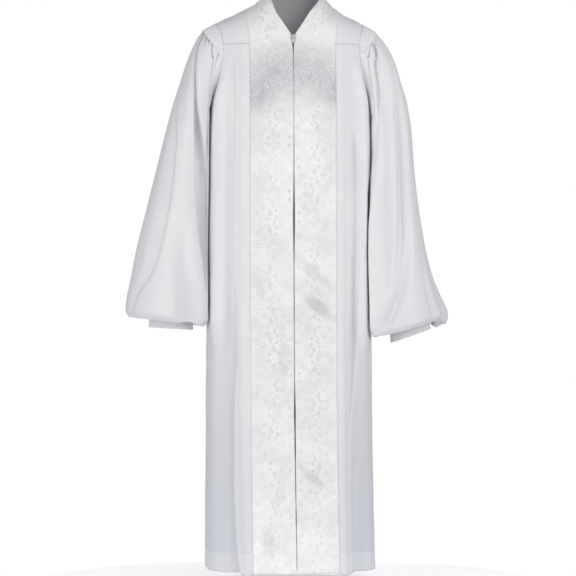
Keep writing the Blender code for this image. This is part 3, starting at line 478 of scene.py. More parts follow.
@dataclass(frozen=True)
class Torso:
    """Surface of the body that every flat piece is laid on, as in the solids."""

    hem_z: float = -1.317
    front_seam_z: float = -0.061
    back_seam_z: float = -0.130
    underarm_z: float = -0.212
    neck_side_z: float = 0.060
    neck_rise: float = 0.030
    v_bottom_z: float = -0.042
    ridge_y: float = 0.008
    neck_forward: float = 0.022
    neck_forward_power: float = 1.5
    neck_half: float = 0.067
    back_neck_depth: float = 0.070
    band_half: float = 0.102
    band_shoulder_half: float = 0.112
    band_wide_z: float = 0.030
    body_power: float = 2.4
    shoulder_power: float = 2.5
    neck_power: float = 1.15
    sway: float = 0.005
    sway_start_z: float = -0.700
    neck_lean: float = 0.007
    neck_lean_z: float = 0.012
    neck_lean_run: float = 0.024
    hem_sag: float = 0.007
    hem_sag_x: float = 0.118
    hem_sag_half: float = 0.024
    hem_side_rise: float = 0.002
    hem_side_power: int = 4
    hem_reach: float = 0.10

    def width(self, z: Array) -> Array:
        """Half width of the body at a height."""
        return of_table(BODY_SECTIONS, "z", "half_width", z)

    def ridge_z(self, back: bool, x: Array) -> Array:
        """Height of the shoulder line, which rises at the back of the neck.

        Args:
            back: Whether the back's line is wanted.
            x: Distance from the centre.

        Returns:
            The height at each place.
        """
        line = of_table(SHOULDER_LINE, "x", "z", x)
        if not back:
            return line
        inside = self.neck_side_z + self.neck_rise * (1.0 - (x / self.neck_half) ** 2)
        return np.where(x < self.neck_half, inside, line)

    def ridge_depth(self, x: Array) -> Array:
        """Y of the shoulder line, which runs forward to the side of the neck."""
        share = (self.band_shoulder_half - np.abs(x)) / (self.band_shoulder_half - self.neck_half)
        return self.ridge_y - self.neck_forward * np.clip(share, 0.0, 1.0) ** self.neck_forward_power

    def opening(self, z: Array) -> Array:
        """Half width of the front opening, then of the V of the neck above it.

        Args:
            z: Height.

        Returns:
            Distance from the centre at each height.
        """
        share = np.clip((z - self.v_bottom_z) / (self.neck_side_z - self.v_bottom_z), 0.0, 1.0)
        above = blend(OPENING[-1].x, self.neck_half, 1.0 - (1.0 - share) ** self.neck_power)
        return np.where(z <= self.v_bottom_z, of_table(OPENING, "z", "x", z), above)

    def band(self, z: Array) -> Array:
        """Outer edge of the brocade."""
        share = np.clip((z - self.front_seam_z) / (self.band_wide_z - self.front_seam_z), 0.0, 1.0)
        return blend(self.band_half, self.band_shoulder_half, share)

    def edge(self, z: Array) -> Array:
        """Outer edge of fronts and backs: side seam, then armhole."""
        return np.where(z <= self.underarm_z, self.width(z), of_table(ARMHOLE, "z", "x", z))

    def depth(self, back: bool, x: Array, z: Array) -> Array:
        """Y of the surface at a place seen from the front.

        Args:
            back: Whether the back's surface is wanted.
            x: Distance from the centre.
            z: Height.

        Returns:
            The Y of each place.
        """
        seam = self.back_seam_z if back else self.front_seam_z
        level = np.minimum(z, seam)
        reach = of_table(BODY_SECTIONS, "z", "back" if back else "front", level)
        foot = (1.0 if back else -1.0) * reach * round_off(x / self.width(level), self.body_power)
        rise = (z - seam) / (self.ridge_z(back, np.abs(x)) - seam)
        ridge = self.ridge_depth(x)
        over = ridge + (foot - ridge) * round_off(np.maximum(rise, 0.0), self.shoulder_power)
        return np.where(z <= seam, foot, over)

    def swayed(self, x: Array, z: Array) -> Array:
        """Place from the centre, with hem and neck standing a little to the robe's left.

        Args:
            x: Place from the centre, with its sign.
            z: Height.

        Returns:
            The place moved aside.
        """
        low = np.clip(self.sway_start_z - z, 0.0, None) / (self.sway_start_z - self.hem_z)
        neck = np.clip((z - self.neck_lean_z) / self.neck_lean_run, 0.0, 1.0)
        return x + self.sway * low**2 + self.neck_lean * neck

    def hem(self, x: Array) -> Array:
        """Height of the hem, which isn't quite level.

        Args:
            x: Place from the centre.

        Returns:
            The height at each place.
        """
        side = self.hem_side_rise * (np.abs(x) / self.width(self.hem_z)) ** self.hem_side_power
        sag = self.hem_sag * hump(np.abs(x) - self.hem_sag_x, self.hem_sag_half, self.hem_sag_half)
        return self.hem_z + side - sag

    def lowered(self, x: Array, z: Array) -> Array:
        """Height with the last part of the cloth stretched down to the uneven hem."""
        share = np.clip((self.hem_z + self.hem_reach - z) / self.hem_reach, 0.0, 1.0)
        return z + (self.hem(x) - self.hem_z) * share


TORSO = Torso()


@dataclass(frozen=True)
class Hem:
    """Row of stitches that holds the turned-up hem."""

    band: float = 0.046
    depth: float = 0.0005
    half: float = 0.0022

    def stitched(self, z: Array) -> Array:
        """How far the cloth is drawn in by the stitches at a height."""
        return self.depth * hump(z - TORSO.hem_z - self.band, self.half, self.half)


HEM = Hem()


def stacked(x: Array, y: Array, z: Array) -> Array:
    """Points from three arrays of coordinates."""
    return np.stack(np.broadcast_arrays(x, y, z), axis=-1).astype(float)


def ways_out(points: Array, toward: Toward) -> Array:
    """Unit normals of a lattice of points, on its right side.

    Args:
        points: Rows and columns of points.
        toward: Way the right side faces; a tube's faces away from its middle.

    Returns:
        One unit vector for each point.
    """
    wrap = toward is Toward.AROUND
    if wrap:
        across = np.roll(points[:, :-1], -1, axis=1) - np.roll(points[:, :-1], 1, axis=1)
        across = np.concatenate((across, across[:, :1]), axis=1)
    else:
        across = np.gradient(points, axis=1)
    upward = np.gradient(points, axis=0)
    way = np.cross(across, upward)
    way /= np.maximum(np.linalg.norm(way, axis=-1, keepdims=True), 1e-12)
    if wrap:
        middle = points[:, :-1].mean(axis=1, keepdims=True)
        facing = ((points - middle) * way).sum()
    else:
        facing = (way @ np.array(toward.value)).sum()
    return way if facing > 0.0 else -way


def standing(points: Array, toward: Toward, out: Array | float) -> Array:
    """Lattice moved along its own normals."""
    return points + ways_out(points, toward) * np.asarray(out)[..., None]


def laid(name: str, points: Array, cloth: Array, toward: Toward, thickness: float) -> bpy.types.Object:
    """Cloth shell: an operator's grid laid over a lattice, with the flat cloth as its UV map.

    Args:
        name: Name of the piece.
        points: Rows and columns of points; a tube's last column repeats its first.
        cloth: Place of each point on the flat cloth, in metres.
        toward: Way the right side faces.
        thickness: Thickness of the cloth, taken inwards.

    Returns:
        The piece.
    """
    rows, columns = points.shape[:2]
    grid = bmesh.new()
    bmesh.ops.create_grid(grid, x_segments=columns - 1, y_segments=rows - 1, size=0.5)
    mesh = bpy.data.meshes.new(name)
    grid.to_mesh(mesh)
    grid.free()
    mesh.vertices.foreach_set("co", points.reshape(-1))
    corners = np.empty(len(mesh.loops), dtype=np.int32)
    mesh.loops.foreach_get("vertex_index", corners)
    layer = mesh.uv_layers.new(name="cloth")
    layer.uv.foreach_set("vector", cloth.reshape(-1, 2)[corners].astype(np.float32).reshape(-1))
    mesh.polygons.foreach_set("use_smooth", np.ones(len(mesh.polygons), dtype=bool))
    mesh.update()
    shell = bmesh.new()
    shell.from_mesh(mesh)
    if toward is Toward.AROUND:
        bmesh.ops.remove_doubles(shell, verts=shell.verts, dist=1e-6)
    shell.faces.ensure_lookup_table()
    row, column = (rows - 1) // 2, (columns - 1) // 2
    wanted = ways_out(points, toward)[row, column]
    if shell.faces[row * (columns - 1) + column].normal @ Vector(wanted) < 0.0:
        bmesh.ops.reverse_faces(shell, faces=shell.faces)
    shell.to_mesh(mesh)
    shell.free()
    return worn(name, mesh, thickness)


def worn(name: str, mesh: bpy.types.Mesh, thickness: float) -> bpy.types.Object:
    """Object of a mesh, with a cloth thickness behind its right side where one is given.

    Args:
        name: Name of the object.
        mesh: Its mesh.
        thickness: Thickness of the cloth, or 0 for a solid piece.

    Returns:
        The object.
    """
    piece = bpy.data.objects.new(name, mesh)
    bpy.context.scene.collection.objects.link(piece)
    if thickness > 0.0:
        shell = piece.modifiers.new("thickness", "SOLIDIFY")
        shell.thickness = thickness
        shell.offset = -1.0
        shell.use_rim = True
    return piece


def run_lengths(points: Array) -> Array:
    """Length run along the last axis of a line of points."""
    steps = np.linalg.norm(np.diff(points, axis=0), axis=-1)
    return np.concatenate(((0.0,), np.cumsum(steps)))


def flat_cloth(points: Array) -> Array:
    """Place of each lattice point on the flat cloth, from the middle row and the middle column.

    Args:
        points: Rows and columns of points.

    Returns:
        Two coordinates for each point, in metres.
    """
    rows, columns = points.shape[:2]
    across = run_lengths(points[rows // 2])
    along = run_lengths(points[:, columns // 2])
    return np.stack(np.meshgrid(across, along), axis=-1)


# Swells of hanging cloth: how many, how they narrow, their length for a width, and how they bend
SWELL_COUNT = 5
SWELL_NARROWING = 0.55
SWELL_LENGTHS = (2.6, 4.4)
SWELL_BEND = 0.9
SWELL_BEND_LENGTH = 2.3
SWELL_TOTAL = 2.0


def drift(across: Array, along: Array, size: float, seed: int) -> Array:
    """Soft unevenness of hanging cloth, between about -1 and 1.

    Args:
        across: Place across, in metres.
        along: Place along, in metres.
        size: Width of the largest swells, in metres.
        seed: Choice of the swells' phases.

    Returns:
        The swell at each place.
    """
    draw = np.random.default_rng(seed)
    total = np.zeros(np.broadcast(across, along).shape)
    for step in range(SWELL_COUNT):
        width = size / (1.0 + SWELL_NARROWING * step)
        length = width * draw.uniform(*SWELL_LENGTHS)
        phase = draw.uniform(0.0, 2.0 * math.pi, 2)
        bend = SWELL_BEND * np.sin(2.0 * math.pi * along / (SWELL_BEND_LENGTH * length) + phase[1])
        total += np.sin(2.0 * math.pi * (across / width) + bend + phase[0]) * np.sin(
            2.0 * math.pi * along / length + phase[1]) / (1.0 + step)
    return total / SWELL_TOTAL


@dataclass
class Dresser:
    """What every sub-assembly needs: it keeps its pieces."""

    pieces: list[bpy.types.Object] = field(default_factory=list)

    def keep(self, piece: bpy.types.Object, slot: str, material: bpy.types.Material, *nodes: str) -> None:
        """Let a piece ride on the robe, take its finish and stand for its CAD nodes.

        Args:
            piece: The finished piece.
            slot: Name of a material slot; not used.
            material: Its finish.
            nodes: CAD nodes that it replaces.
        """
        piece.data.materials.clear()
        piece.data.materials.append(material)
        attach(piece, BODY)
        if nodes:
            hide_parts(*nodes)
        self.pieces.append(piece)

    def sheet(self, piece: bpy.types.Object, points: Array, held: str, rests_on: Sequence[str]) -> None:
        """Take a piece of cloth and do nothing with it.

        Args:
            piece: The cloth; not used.
            points: Its lattice; not used.
            held: How it is held; not used.
            rests_on: What it hangs from; not used.
        """


@dataclass
class Fronts(Dresser):
    """The two fronts with their soft pleat beside the brocade."""

    columns: int = 108
    rows: int = 180
    band_share: float = 0.26
    thickness: float = 0.0008
    swell: float = 0.0007
    swell_size: float = 0.046
    swell_seed: int = 11
    swell_under_band: float = 0.35
    swell_from_band: float = 0.012
    swell_from_seam: float = 0.10
    edge_fade: float = 0.0015
    seam_dip: float = 0.0006
    dip_aside: float = 0.0012
    dip_near: float = 0.0016
    dip_far: float = 0.0022

    def across(self, share: Array, open_z: Array, band_z: Array, edge_z: Array, width: Array) -> Array:
        """Distance from the centre of a column: under the brocade, then round to the side.

        Args:
            share: Share of the way from the opening to the side.
            open_z: Height at which the opening is read.
            band_z: Height at which the brocade's edge is read.
            edge_z: Height at which the outer edge is read.
            width: Half width of the body there.

        Returns:
            Distances from the centre.
        """
        band = TORSO.band(band_z)
        under = self.band_share
        inner = blend(TORSO.opening(open_z), band, np.clip(share / under, 0.0, 1.0))
        first = np.arcsin(band / width)
        last = np.arcsin(np.clip(TORSO.edge(edge_z) / width, 0.0, 1.0))
        turn = blend(first, last, np.clip((share - under) / (1.0 - under), 0.0, 1.0))
        return np.where(share <= under, inner, width * np.sin(turn))

    def panel(self, side: Side, share: Array, z: Array) -> tuple[Array, Array]:
        """Undraped lattice of a front and the distance of each point from the centre.

        Args:
            side: Wearer's side.
            share: Share of the way across, one for each column.
            z: Height, one for each row.

        Returns:
            The lattice and the distances.
        """
        share, z = share[None, :], z[:, None]
        x = self.across(share, z, z, z, TORSO.width(z))
        y = TORSO.depth(False, x, z)
        return stacked(TORSO.swayed(side.sign * x, z), y, TORSO.lowered(x, z)), x

    def room(self, x: Array, z: Array) -> Array:
        """Share of a fold that is let stand, which fades out at the sewn outer edge."""
        return np.clip((TORSO.edge(z) - x) / self.edge_fade, 0.0, 1.0)

    def fold(self, side: Side, x: Array, z: Array) -> Array:
        """How far a front stands out: creases, slanting pinches and soft unevenness.

        Args:
            side: Wearer's side.
            x: Distance from the centre of each point.
            z: Its height.

        Returns:
            Distance out at each point.
        """
        plain = np.clip((x - TORSO.band_half) / self.swell_from_band, 0.0, 1.0)
        low = np.clip((TORSO.front_seam_z - z) / self.swell_from_seam, 0.0, 1.0)
        out = crease_field(FRONT_CREASES[side], z, x) + pinch_field(BAND_PINCHES[side], x, z)
        uneven = self.swell * drift(x, z, self.swell_size, self.swell_seed + side.sign)
        out = out + uneven * low * blend(self.swell_under_band, 1.0, plain)
        return out * self.room(x, z)

    def seams(self, x: Array, z: Array) -> Array:
        """Dip beside the brocade's seam and the line of the hem's stitches."""
        beside = hump(x - TORSO.band_half - self.dip_aside, self.dip_near, self.dip_far)
        return -self.seam_dip * beside - HEM.stitched(z)

    def build(self, crepe: bpy.types.Material) -> None:
        """Build and dress both fronts.

        Args:
            crepe: Finish of the cloth.
        """
        for side in Side:
            z = np.linspace(TORSO.hem_z, TORSO.front_seam_z, self.rows + 1)
            points, x = self.panel(side, shares(self.columns), z)
            height = np.broadcast_to(z[:, None], x.shape)
            out = self.fold(side, x, height) + self.seams(x, height)
            cloth = flat_cloth(points)
            points = standing(points, Toward.FRONT, out)
            points[..., 1] += crease_field(FRONT_DEPTHS[side], height, x) * self.room(x, height)
            piece = laid(f"front_cloth_{side.word}", points, cloth, Toward.FRONT, self.thickness)
            self.keep(piece, "crepe", crepe, f"front_{side.word}")
            self.sheet(piece, points, "hung", [f"yoke_cloth_{side.word}"])


@dataclass
class Yokes(Dresser):
    """Front and back yokes."""

    fronts: Fronts = field(default_factory=Fronts)
    columns: int = 64
    rows: int = 44
    back_columns: int = 150
    thickness: float = 0.0006
    lift: float = 0.0001
    overlap: float = 0.0010
    neck_share: float = 0.30

    def front(self, side: Side, share: Array, rise_share: Array) -> Array:
        """Lattice of a front yoke.

        Args:
            side: Wearer's side.
            share: Share of the way across, one for each column.
            rise_share: Share of the way up, one for each row.

        Returns:
            The lattice.
        """
        rise = np.sin(0.5 * math.pi * rise_share)[:, None]
        seam = TORSO.front_seam_z
        inner = blend(seam, TORSO.neck_side_z, rise)
        band = blend(seam, TORSO.ridge_z(False, np.array(TORSO.band_shoulder_half)), rise)
        edge = blend(seam, SHOULDER_LINE[-1].z, rise)
        x = self.fronts.across(share[None, :], inner, band, edge, TORSO.width(seam))
        z = blend(seam, TORSO.ridge_z(False, x), rise) - self.overlap * (rise == 0.0)
        return stacked(TORSO.swayed(side.sign * x, z), TORSO.depth(False, x, z), z)

    def neck_rise(self, x: Array) -> Array:
        """Share of the back yoke's height at which the neck edge cuts it.

        Args:
            x: Distance from the centre.

        Returns:
            The share at each place.
        """
        inside = np.clip(1.0 - (x / TORSO.neck_half) ** 2, 0.0, None)
        neck_y = TORSO.ridge_depth(TORSO.neck_half) + TORSO.back_neck_depth * np.sqrt(inside)
        ridge = TORSO.ridge_depth(x)
        foot = TORSO.depth(True, x, np.array(TORSO.back_seam_z))
        share = round_off((neck_y - ridge) / (foot - ridge), TORSO.shoulder_power)
        return np.where(x >= TORSO.neck_half, 1.0, share)

    def back_x(self, share: Array, rise: Array) -> Array:
        """Distance from the centre of a column of the back yoke, from the centre (0) to the edge (1).

        Args:
            share: Share of the way from the centre to the edge.
            rise: Share of the way up.

        Returns:
            The distance at each point.
        """
        neck = TORSO.neck_half * np.sin(0.5 * math.pi * np.clip(share / self.neck_share, 0.0, 1.0))
        edge = blend(TORSO.back_seam_z, SHOULDER_LINE[-1].z, rise)
        width = TORSO.width(TORSO.front_seam_z)
        first = np.arcsin(TORSO.neck_half / width)
        last = np.arcsin(np.clip(TORSO.edge(edge) / width, 0.0, 1.0))
        turn = blend(first, last, np.clip((share - self.neck_share) / (1.0 - self.neck_share), 0.0, 1.0))
        return np.where(share <= self.neck_share, neck, width * np.sin(turn))

    def back(self, share: Array, rise_share: Array) -> Array:
        """Lattice of the back yoke, right (-1) to left (1).

        Args:
            share: Signed share of the way from the centre to the edge, one for each column.
            rise_share: Share of the way up, one for each row.

        Returns:
            The lattice.
        """
        rise = np.sin(0.5 * math.pi * rise_share)[:, None]
        x = self.back_x(np.abs(share)[None, :], rise)
        z = blend(TORSO.back_seam_z, TORSO.ridge_z(True, x), rise * self.neck_rise(x))
        y = TORSO.depth(True, x, z)
        return stacked(TORSO.swayed(np.sign(share)[None, :] * x, z), y, z)

    def build(self, crepe: bpy.types.Material) -> None:
        """Build and dress the three yokes.

        Args:
            crepe: Finish of the cloth.
        """
        up = shares(self.rows)
        for side in Side:
            points = self.front(side, shares(self.columns), up)
            points = standing(points, Toward.FRONT, self.lift)
            piece = laid(f"yoke_cloth_{side.word}", points, flat_cloth(points), Toward.UP, self.thickness)
            self.keep(piece, "crepe", crepe, f"yoke_front_{side.word}")
            self.sheet(piece, points, "stretched", ["yoke_cloth_back"])
        points = self.back(np.linspace(-1.0, 1.0, self.back_columns + 1), up)
        points = standing(points, Toward.BACK, self.lift)
        piece = laid("yoke_cloth_back", points, flat_cloth(points), Toward.BACK, self.thickness)
        self.keep(piece, "crepe", crepe, "yoke_back")
        self.sheet(piece, points, "stretched", ["yoke_cloth_right", "yoke_cloth_left"])


@dataclass
class Brocades(Dresser):
    """Brocade bands that run from the hem over the chest to the shoulder seam."""

    fronts: Fronts = field(default_factory=Fronts)
    yokes: Yokes = field(default_factory=Yokes)
    columns: int = 40
    rows: int = 230
    yoke_rows: int = 34
    lift: float = 0.0014
    thickness: float = 0.0008
    edge_roll: float = 0.0005
    roll_share: float = 0.03
    pattern_step: float = 0.046

    def lattice(self, side: Side) -> Array:
        """Lattice of one band, hem first.

        Args:
            side: Wearer's side.

        Returns:
            The lattice.
        """
        share = np.linspace(0.0, self.fronts.band_share, self.columns + 1)
        z = np.linspace(TORSO.hem_z, TORSO.front_seam_z, self.rows + 1)
        low, x = self.fronts.panel(side, share, z)
        height = np.broadcast_to(z[:, None], x.shape)
        low = standing(low, Toward.FRONT, self.fronts.fold(side, x, height))
        high = self.yokes.front(side, share, shares(self.yoke_rows))
        return np.concatenate((low, high[1:]))

    def build(self, brocade: bpy.types.Material) -> None:
        """Build and dress both bands.

        Args:
            brocade: Finish of the cloth.
        """
        for side in Side:
            base = self.lattice(side)
            place, roll = shares(self.columns), self.roll_share
            rim = hump(place, roll, roll) + hump(place - 1.0, roll, roll)
            points = standing(base, Toward.FRONT, self.lift - self.edge_roll * rim[None, :])
            cloth = flat_cloth(base)
            cloth[..., 1] += self.pattern_step if side is Side.LEFT else 0.0
            piece = laid(f"brocade_cloth_{side.word}", points, cloth, Toward.FRONT, self.thickness)
            self.keep(piece, "brocade", brocade, f"brocade_{side.word}")
            self.sheet(piece, points, "hung", [f"front_cloth_{side.word}", f"yoke_cloth_{side.word}"])


@dataclass
class Back(Dresser):
    """Fluted back panel."""

    columns: int = 250
    rows: int = 130
    middle_angle: float = 50.0
    middle_share: float = 0.62
    thickness: float = 0.0008
    top_narrow: float = 0.82
    widening: float = 3.0
    middle_down: float = 0.45
    lean: float = 1.2
    lean_turns: float = 3.1
    lean_shift: float = 0.7
    flute_power: float = 0.9
    pleat_angle: float = 3.4
    pleat_uneven: float = 0.6
    pleat_uneven_angle: float = 4.0
    pleat_end: float = 78.0
    pleat_end_fade: float = 10.0
    pleat_out: float = 0.0014
    pleat_reach: float = 0.055
    pleat_rise: float = 0.018
    swell: float = 0.0009
    swell_size: float = 0.06
    swell_seed: int = 5
    mean_radius: float = 0.19
    edge_share: float = 0.02

    def angles(self, share: Array, z: Array) -> Array:
        """Angle from the centre back of each point, in degrees.

        Args:
            share: Signed share of the way to the side seam.
            z: Height.

        Returns:
            The angle of each point.
        """
        reach = np.degrees(np.arcsin(np.clip(TORSO.edge(z) / TORSO.width(z), 0.0, 1.0)))
        inner = self.middle_angle * np.clip(np.abs(share) / self.middle_share, 0.0, 1.0)
        outer = np.clip((np.abs(share) - self.middle_share) / (1.0 - self.middle_share), 0.0, 1.0)
        return np.sign(share) * (inner + (reach - self.middle_angle) * outer)

    def base(self, share: Array, z: Array) -> tuple[Array, Array]:
        """Undraped lattice of the back and the angle of each point.

        Args:
            share: Signed share of the way to the side seam, one for each column.
            z: Height, one for each row.

        Returns:
            The lattice and the angles.
        """
        share, z = share[None, :], z[:, None]
        angle = self.angles(share, z)
        x = TORSO.width(z) * np.sin(np.radians(angle))
        y = TORSO.depth(True, x, z)
        return stacked(TORSO.swayed(x, z), y, TORSO.lowered(x, z)), angle

    def flutes(self, angle: Array, z: Array) -> Array:
        """How far the pleats stand out: large flutes, and fine pleats under the yoke.

        Args:
            angle: Angle of each point.
            z: Its height.

        Returns:
            Distance out at each point.
        """
        down = (TORSO.back_seam_z - z) / (TORSO.back_seam_z - TORSO.hem_z)
        total = np.zeros(angle.shape)
        for flute in BACK_FLUTES:
            half = flute.half * blend(self.top_narrow, 1.0, np.clip(down * self.widening, 0.0, 1.0))
            height = curve((0.0, self.middle_down, 1.0), (flute.top, flute.middle, flute.hem), down)
            sway = self.lean * np.sin(self.lean_turns * down + self.lean_shift * flute.angle)
            total = total + height * hump(angle - flute.angle - sway * down, half, half) ** self.flute_power
        fade = np.exp(-(TORSO.back_seam_z - z) / self.pleat_reach)
        slip = self.pleat_uneven * np.sin(angle / self.pleat_uneven_angle)
        fine = np.cos(2.0 * math.pi * (angle + slip) / self.pleat_angle)
        edge = np.clip((self.pleat_end - np.abs(angle)) / self.pleat_end_fade, 0.0, 1.0)
        under = np.sin(0.5 * math.pi * np.clip((TORSO.back_seam_z - z) / self.pleat_rise, 0.0, 1.0))
        return (total + self.pleat_out * fine * fade * edge) * under

    def build(self, crepe: bpy.types.Material) -> None:
        """Build and dress the back.

        Args:
            crepe: Finish of the cloth.
        """
        share = np.linspace(-1.0, 1.0, self.columns + 1)
        z = np.linspace(TORSO.hem_z, TORSO.back_seam_z, self.rows + 1)
        points, angle = self.base(share, z)
        height = np.broadcast_to(z[:, None], angle.shape)
        run = np.radians(angle) * self.mean_radius
        out = self.flutes(angle, height) + self.swell * drift(run, height, self.swell_size, self.swell_seed)
        out = out - HEM.stitched(height)
        room = np.clip((1.0 - np.abs(share)) / self.edge_share, 0.0, 1.0)[None, :]
        cloth = flat_cloth(points)
        points = standing(points, Toward.BACK, out * room)
        piece = laid("back_cloth", points, cloth, Toward.BACK, self.thickness)
        self.keep(piece, "crepe", crepe, "back_panel")
        self.sheet(piece, points, "gathered", ["yoke_cloth_back"])


@dataclass
class Sleeves(Dresser):
    """Sleeve-head caps, full sleeves gathered into them, and cuffs."""

    yokes: Yokes = field(default_factory=Yokes)
    columns: int = 320
    cap_wide: float = 0.038
    cap_tip: float = 0.0012
    cap_lean: tuple[float, float, float] = (0.86, 0.0, -0.51)
    cap_back_share: float = 0.48
    cap_low_z: float = -0.0765
    cap_columns: int = 14
    cap_rows: int = 230
    cap_lift: float = 0.0010
    cap_rise: float = 0.25
    ripple_start: float = 0.35
    ripple_pitch: float = 0.0062
    ripple: float = 0.0012
    ripple_uneven: float = 0.8
    ripple_wander: float = 0.011
    thickness: float = 0.0008
    oval_power: float = 2.15
    swell: float = 0.0012
    swell_size: float = 0.11
    swell_seed: int = 20
    swell_rings: float = 3.0
    ring_run: float = 0.055
    girth: float = 0.55
    join_angle: float = 30.0
    gather_front: float = 68.0
    gather_back: float = -60.0
    gather_step: float = 7.2
    gather_out: float = -0.0072
    gather_seed: int = 40
    gather_lengths: tuple[float, float] = (1.2, 2.8)
    gather_depths: tuple[float, float] = (0.55, 1.15)
    gather_halves: tuple[float, float] = (2.3, 3.1)
    gather_lean: float = 0.10
    gather_slip: float = 3.0
    gather_spacing: tuple[float, float] = (0.75, 1.3)
    gather_sewn: float = 0.12
    blouse_drop: float = 0.004
    cuff_seam: float = 0.25
    cuff_half_depth: float = 0.047
    cuff_mid_y: float = -0.010
    cuff_rows: int = 18
    cuff_wall: float = 0.0018
    cuff_soft: float = 0.0007
    cuff_waves: float = 3.0
    cuff_wave_start: float = 40.0
    cuff_line: float = 0.0003
    cuff_line_share: float = 0.16
    cuff_line_half: float = 0.07
    samples: int = 60
    row_runs: tuple[tuple[float, float, int], ...] = (
        (0.0, 1.0, 14), (1.0, 3.0, 20), (3.0, 10.0, 66), (10.0, 13.0, 30), (13.0, 14.0, 10))

    def cap_edge(self, side: Side) -> tuple[Array, Array]:
        """Armhole edge of the cap from its front tip over the shoulder to its back tip.

        Args:
            side: Wearer's side.

        Returns:
            Its points, and the cap's width at each.
        """
        low = np.linspace(self.cap_low_z, TORSO.front_seam_z, self.samples // 4)
        panel = self.yokes.fronts.panel(side, np.array([1.0]), low)[0][:, 0]
        up = np.linspace(0.0, 1.0, self.samples)
        front = self.yokes.front(side, np.array([1.0]), up)[:, 0]
        down = np.linspace(1.0, self.cap_back_share, self.samples)
        back = self.yokes.back(np.array([float(side.sign)]), down)[:, 0]
        turn = (1.0 - down) / (1.0 - self.cap_back_share)
        points = np.concatenate((panel[:-1], front[:-1], blend(front[-1:], back[:1], 0.5), back[1:]))
        widths = of_table(CAP_FRONT_WIDTHS, "z", "x", np.concatenate((panel[:-1], front))[:, 2])
        behind = blend(self.cap_tip, self.cap_wide, np.cos(0.5 * math.pi * turn[1:]) ** 2)
        return points, np.concatenate((widths, behind))

    def way(self, side: Side) -> Array:
        """Way across the cap, from the armhole seam outwards."""
        return np.array(self.cap_lean) * (side.sign, 1.0, 1.0)

    def seam(self, side: Side, aside: float) -> Array:
        """Line on the cap at a distance from the armhole seam.

        Args:
            side: Wearer's side.
            aside: Distance from the seam.

        Returns:
            Points of the line.
        """
        edge, width = self.cap_edge(side)
        wide = width > aside
        return edge[wide] + self.way(side) * aside + (0.0, 0.0, self.cap_lift)

    def cap(self, side: Side) -> tuple[Array, Array]:
        """Lattice of a cap, rows along the armhole, and how far along each row is.

        Args:
            side: Wearer's side.

        Returns:
            The lattice, and the run of each row.
        """
        edge, width = self.cap_edge(side)
        run = run_lengths(edge)
        even = np.linspace(0.0, run[-1], self.cap_rows + 1)
        edge = np.stack([np.interp(even, run, edge[:, axis]) for axis in range(3)], axis=-1)
        width = np.interp(even, run, width)
        aside = width[:, None] * shares(self.cap_columns)[None, :]
        return edge[:, None] + self.way(side) * aside[..., None], even

    def armhole(self, side: Side) -> tuple[Array, Array]:
        """Ring that the sleeve is sewn to and the angle of each of its points.

        Args:
            side: Wearer's side.

        Returns:
            Points from the shoulder (0 degrees) over the front (90) and the underarm (180) round.
        """
        cap = self.cap(side)[0][:, -1]
        top = int(np.argmax(cap[:, 2]))
        low = np.linspace(self.cap_low_z, TORSO.underarm_z, self.samples)
        front = self.yokes.fronts.panel(side, np.array([1.0]), low)[0][:, 0]
        high = np.linspace(TORSO.underarm_z, TORSO.back_seam_z, self.samples)
        width = TORSO.edge(high)
        back = stacked(TORSO.swayed(side.sign * width, high), TORSO.depth(True, width, high), high)
        up = np.linspace(0.0, self.cap_back_share, self.samples)
        yoke = self.yokes.back(np.array([float(side.sign)]), up)[:, 0]
        down_front = np.concatenate((cap[top::-1], front[1:]))
        up_back = np.concatenate((back, yoke[1:], cap[:top - 1:-1]))
        first, second = run_lengths(down_front), run_lengths(up_back)
        angles = np.concatenate((180.0 * first / first[-1], 180.0 + 180.0 * second[1:] / second[-1]))
        return np.concatenate((down_front, up_back[1:])), angles

    def oval(self, side: Side, ring: dict[str, Array], angle: Array) -> Array:
        """Points of sleeve rings at angles: 0 is the outer side, 90 the front.

        Args:
            side: Wearer's side.
            ring: Columns of the ring table, read at each ring.
            angle: Angle of each column, in degrees.

        Returns:
            The points.
        """
        turn = np.radians(angle)
        power = 2.0 / self.oval_power
        across = np.sign(np.cos(turn)) * np.abs(np.cos(turn)) ** power
        forward = np.sign(np.sin(turn)) * np.abs(np.sin(turn)) ** power
        share = 0.5 - 0.5 * across
        x = blend(ring["outer_x"], ring["inner_x"], share)
        z = blend(ring["outer_z"], ring["inner_z"], share)
        return stacked(side.sign * x, ring["mid_y"] - ring["half_depth"] * forward, z)

    def cuff(self, side: Side, share: Array, angle: Array) -> Array:
        """Points of a cuff at shares of its height, low edge 0, and at angles.

        Args:
            side: Wearer's side.
            share: Share of the way up.
            angle: Angle of each column, in degrees.

        Returns:
            The points.
        """
        form = CUFFS[side]
        ring = {
            "outer_x": blend(form.low_out[0], form.top_out[0], share),
            "outer_z": blend(form.low_out[1], form.top_out[1], share),
            "inner_x": blend(form.low_in[0], form.top_in[0], share),
            "inner_z": blend(form.low_in[1], form.top_in[1], share),
            "mid_y": self.cuff_mid_y,
            "half_depth": self.cuff_half_depth,
        }
        return self.oval(side, ring, angle)

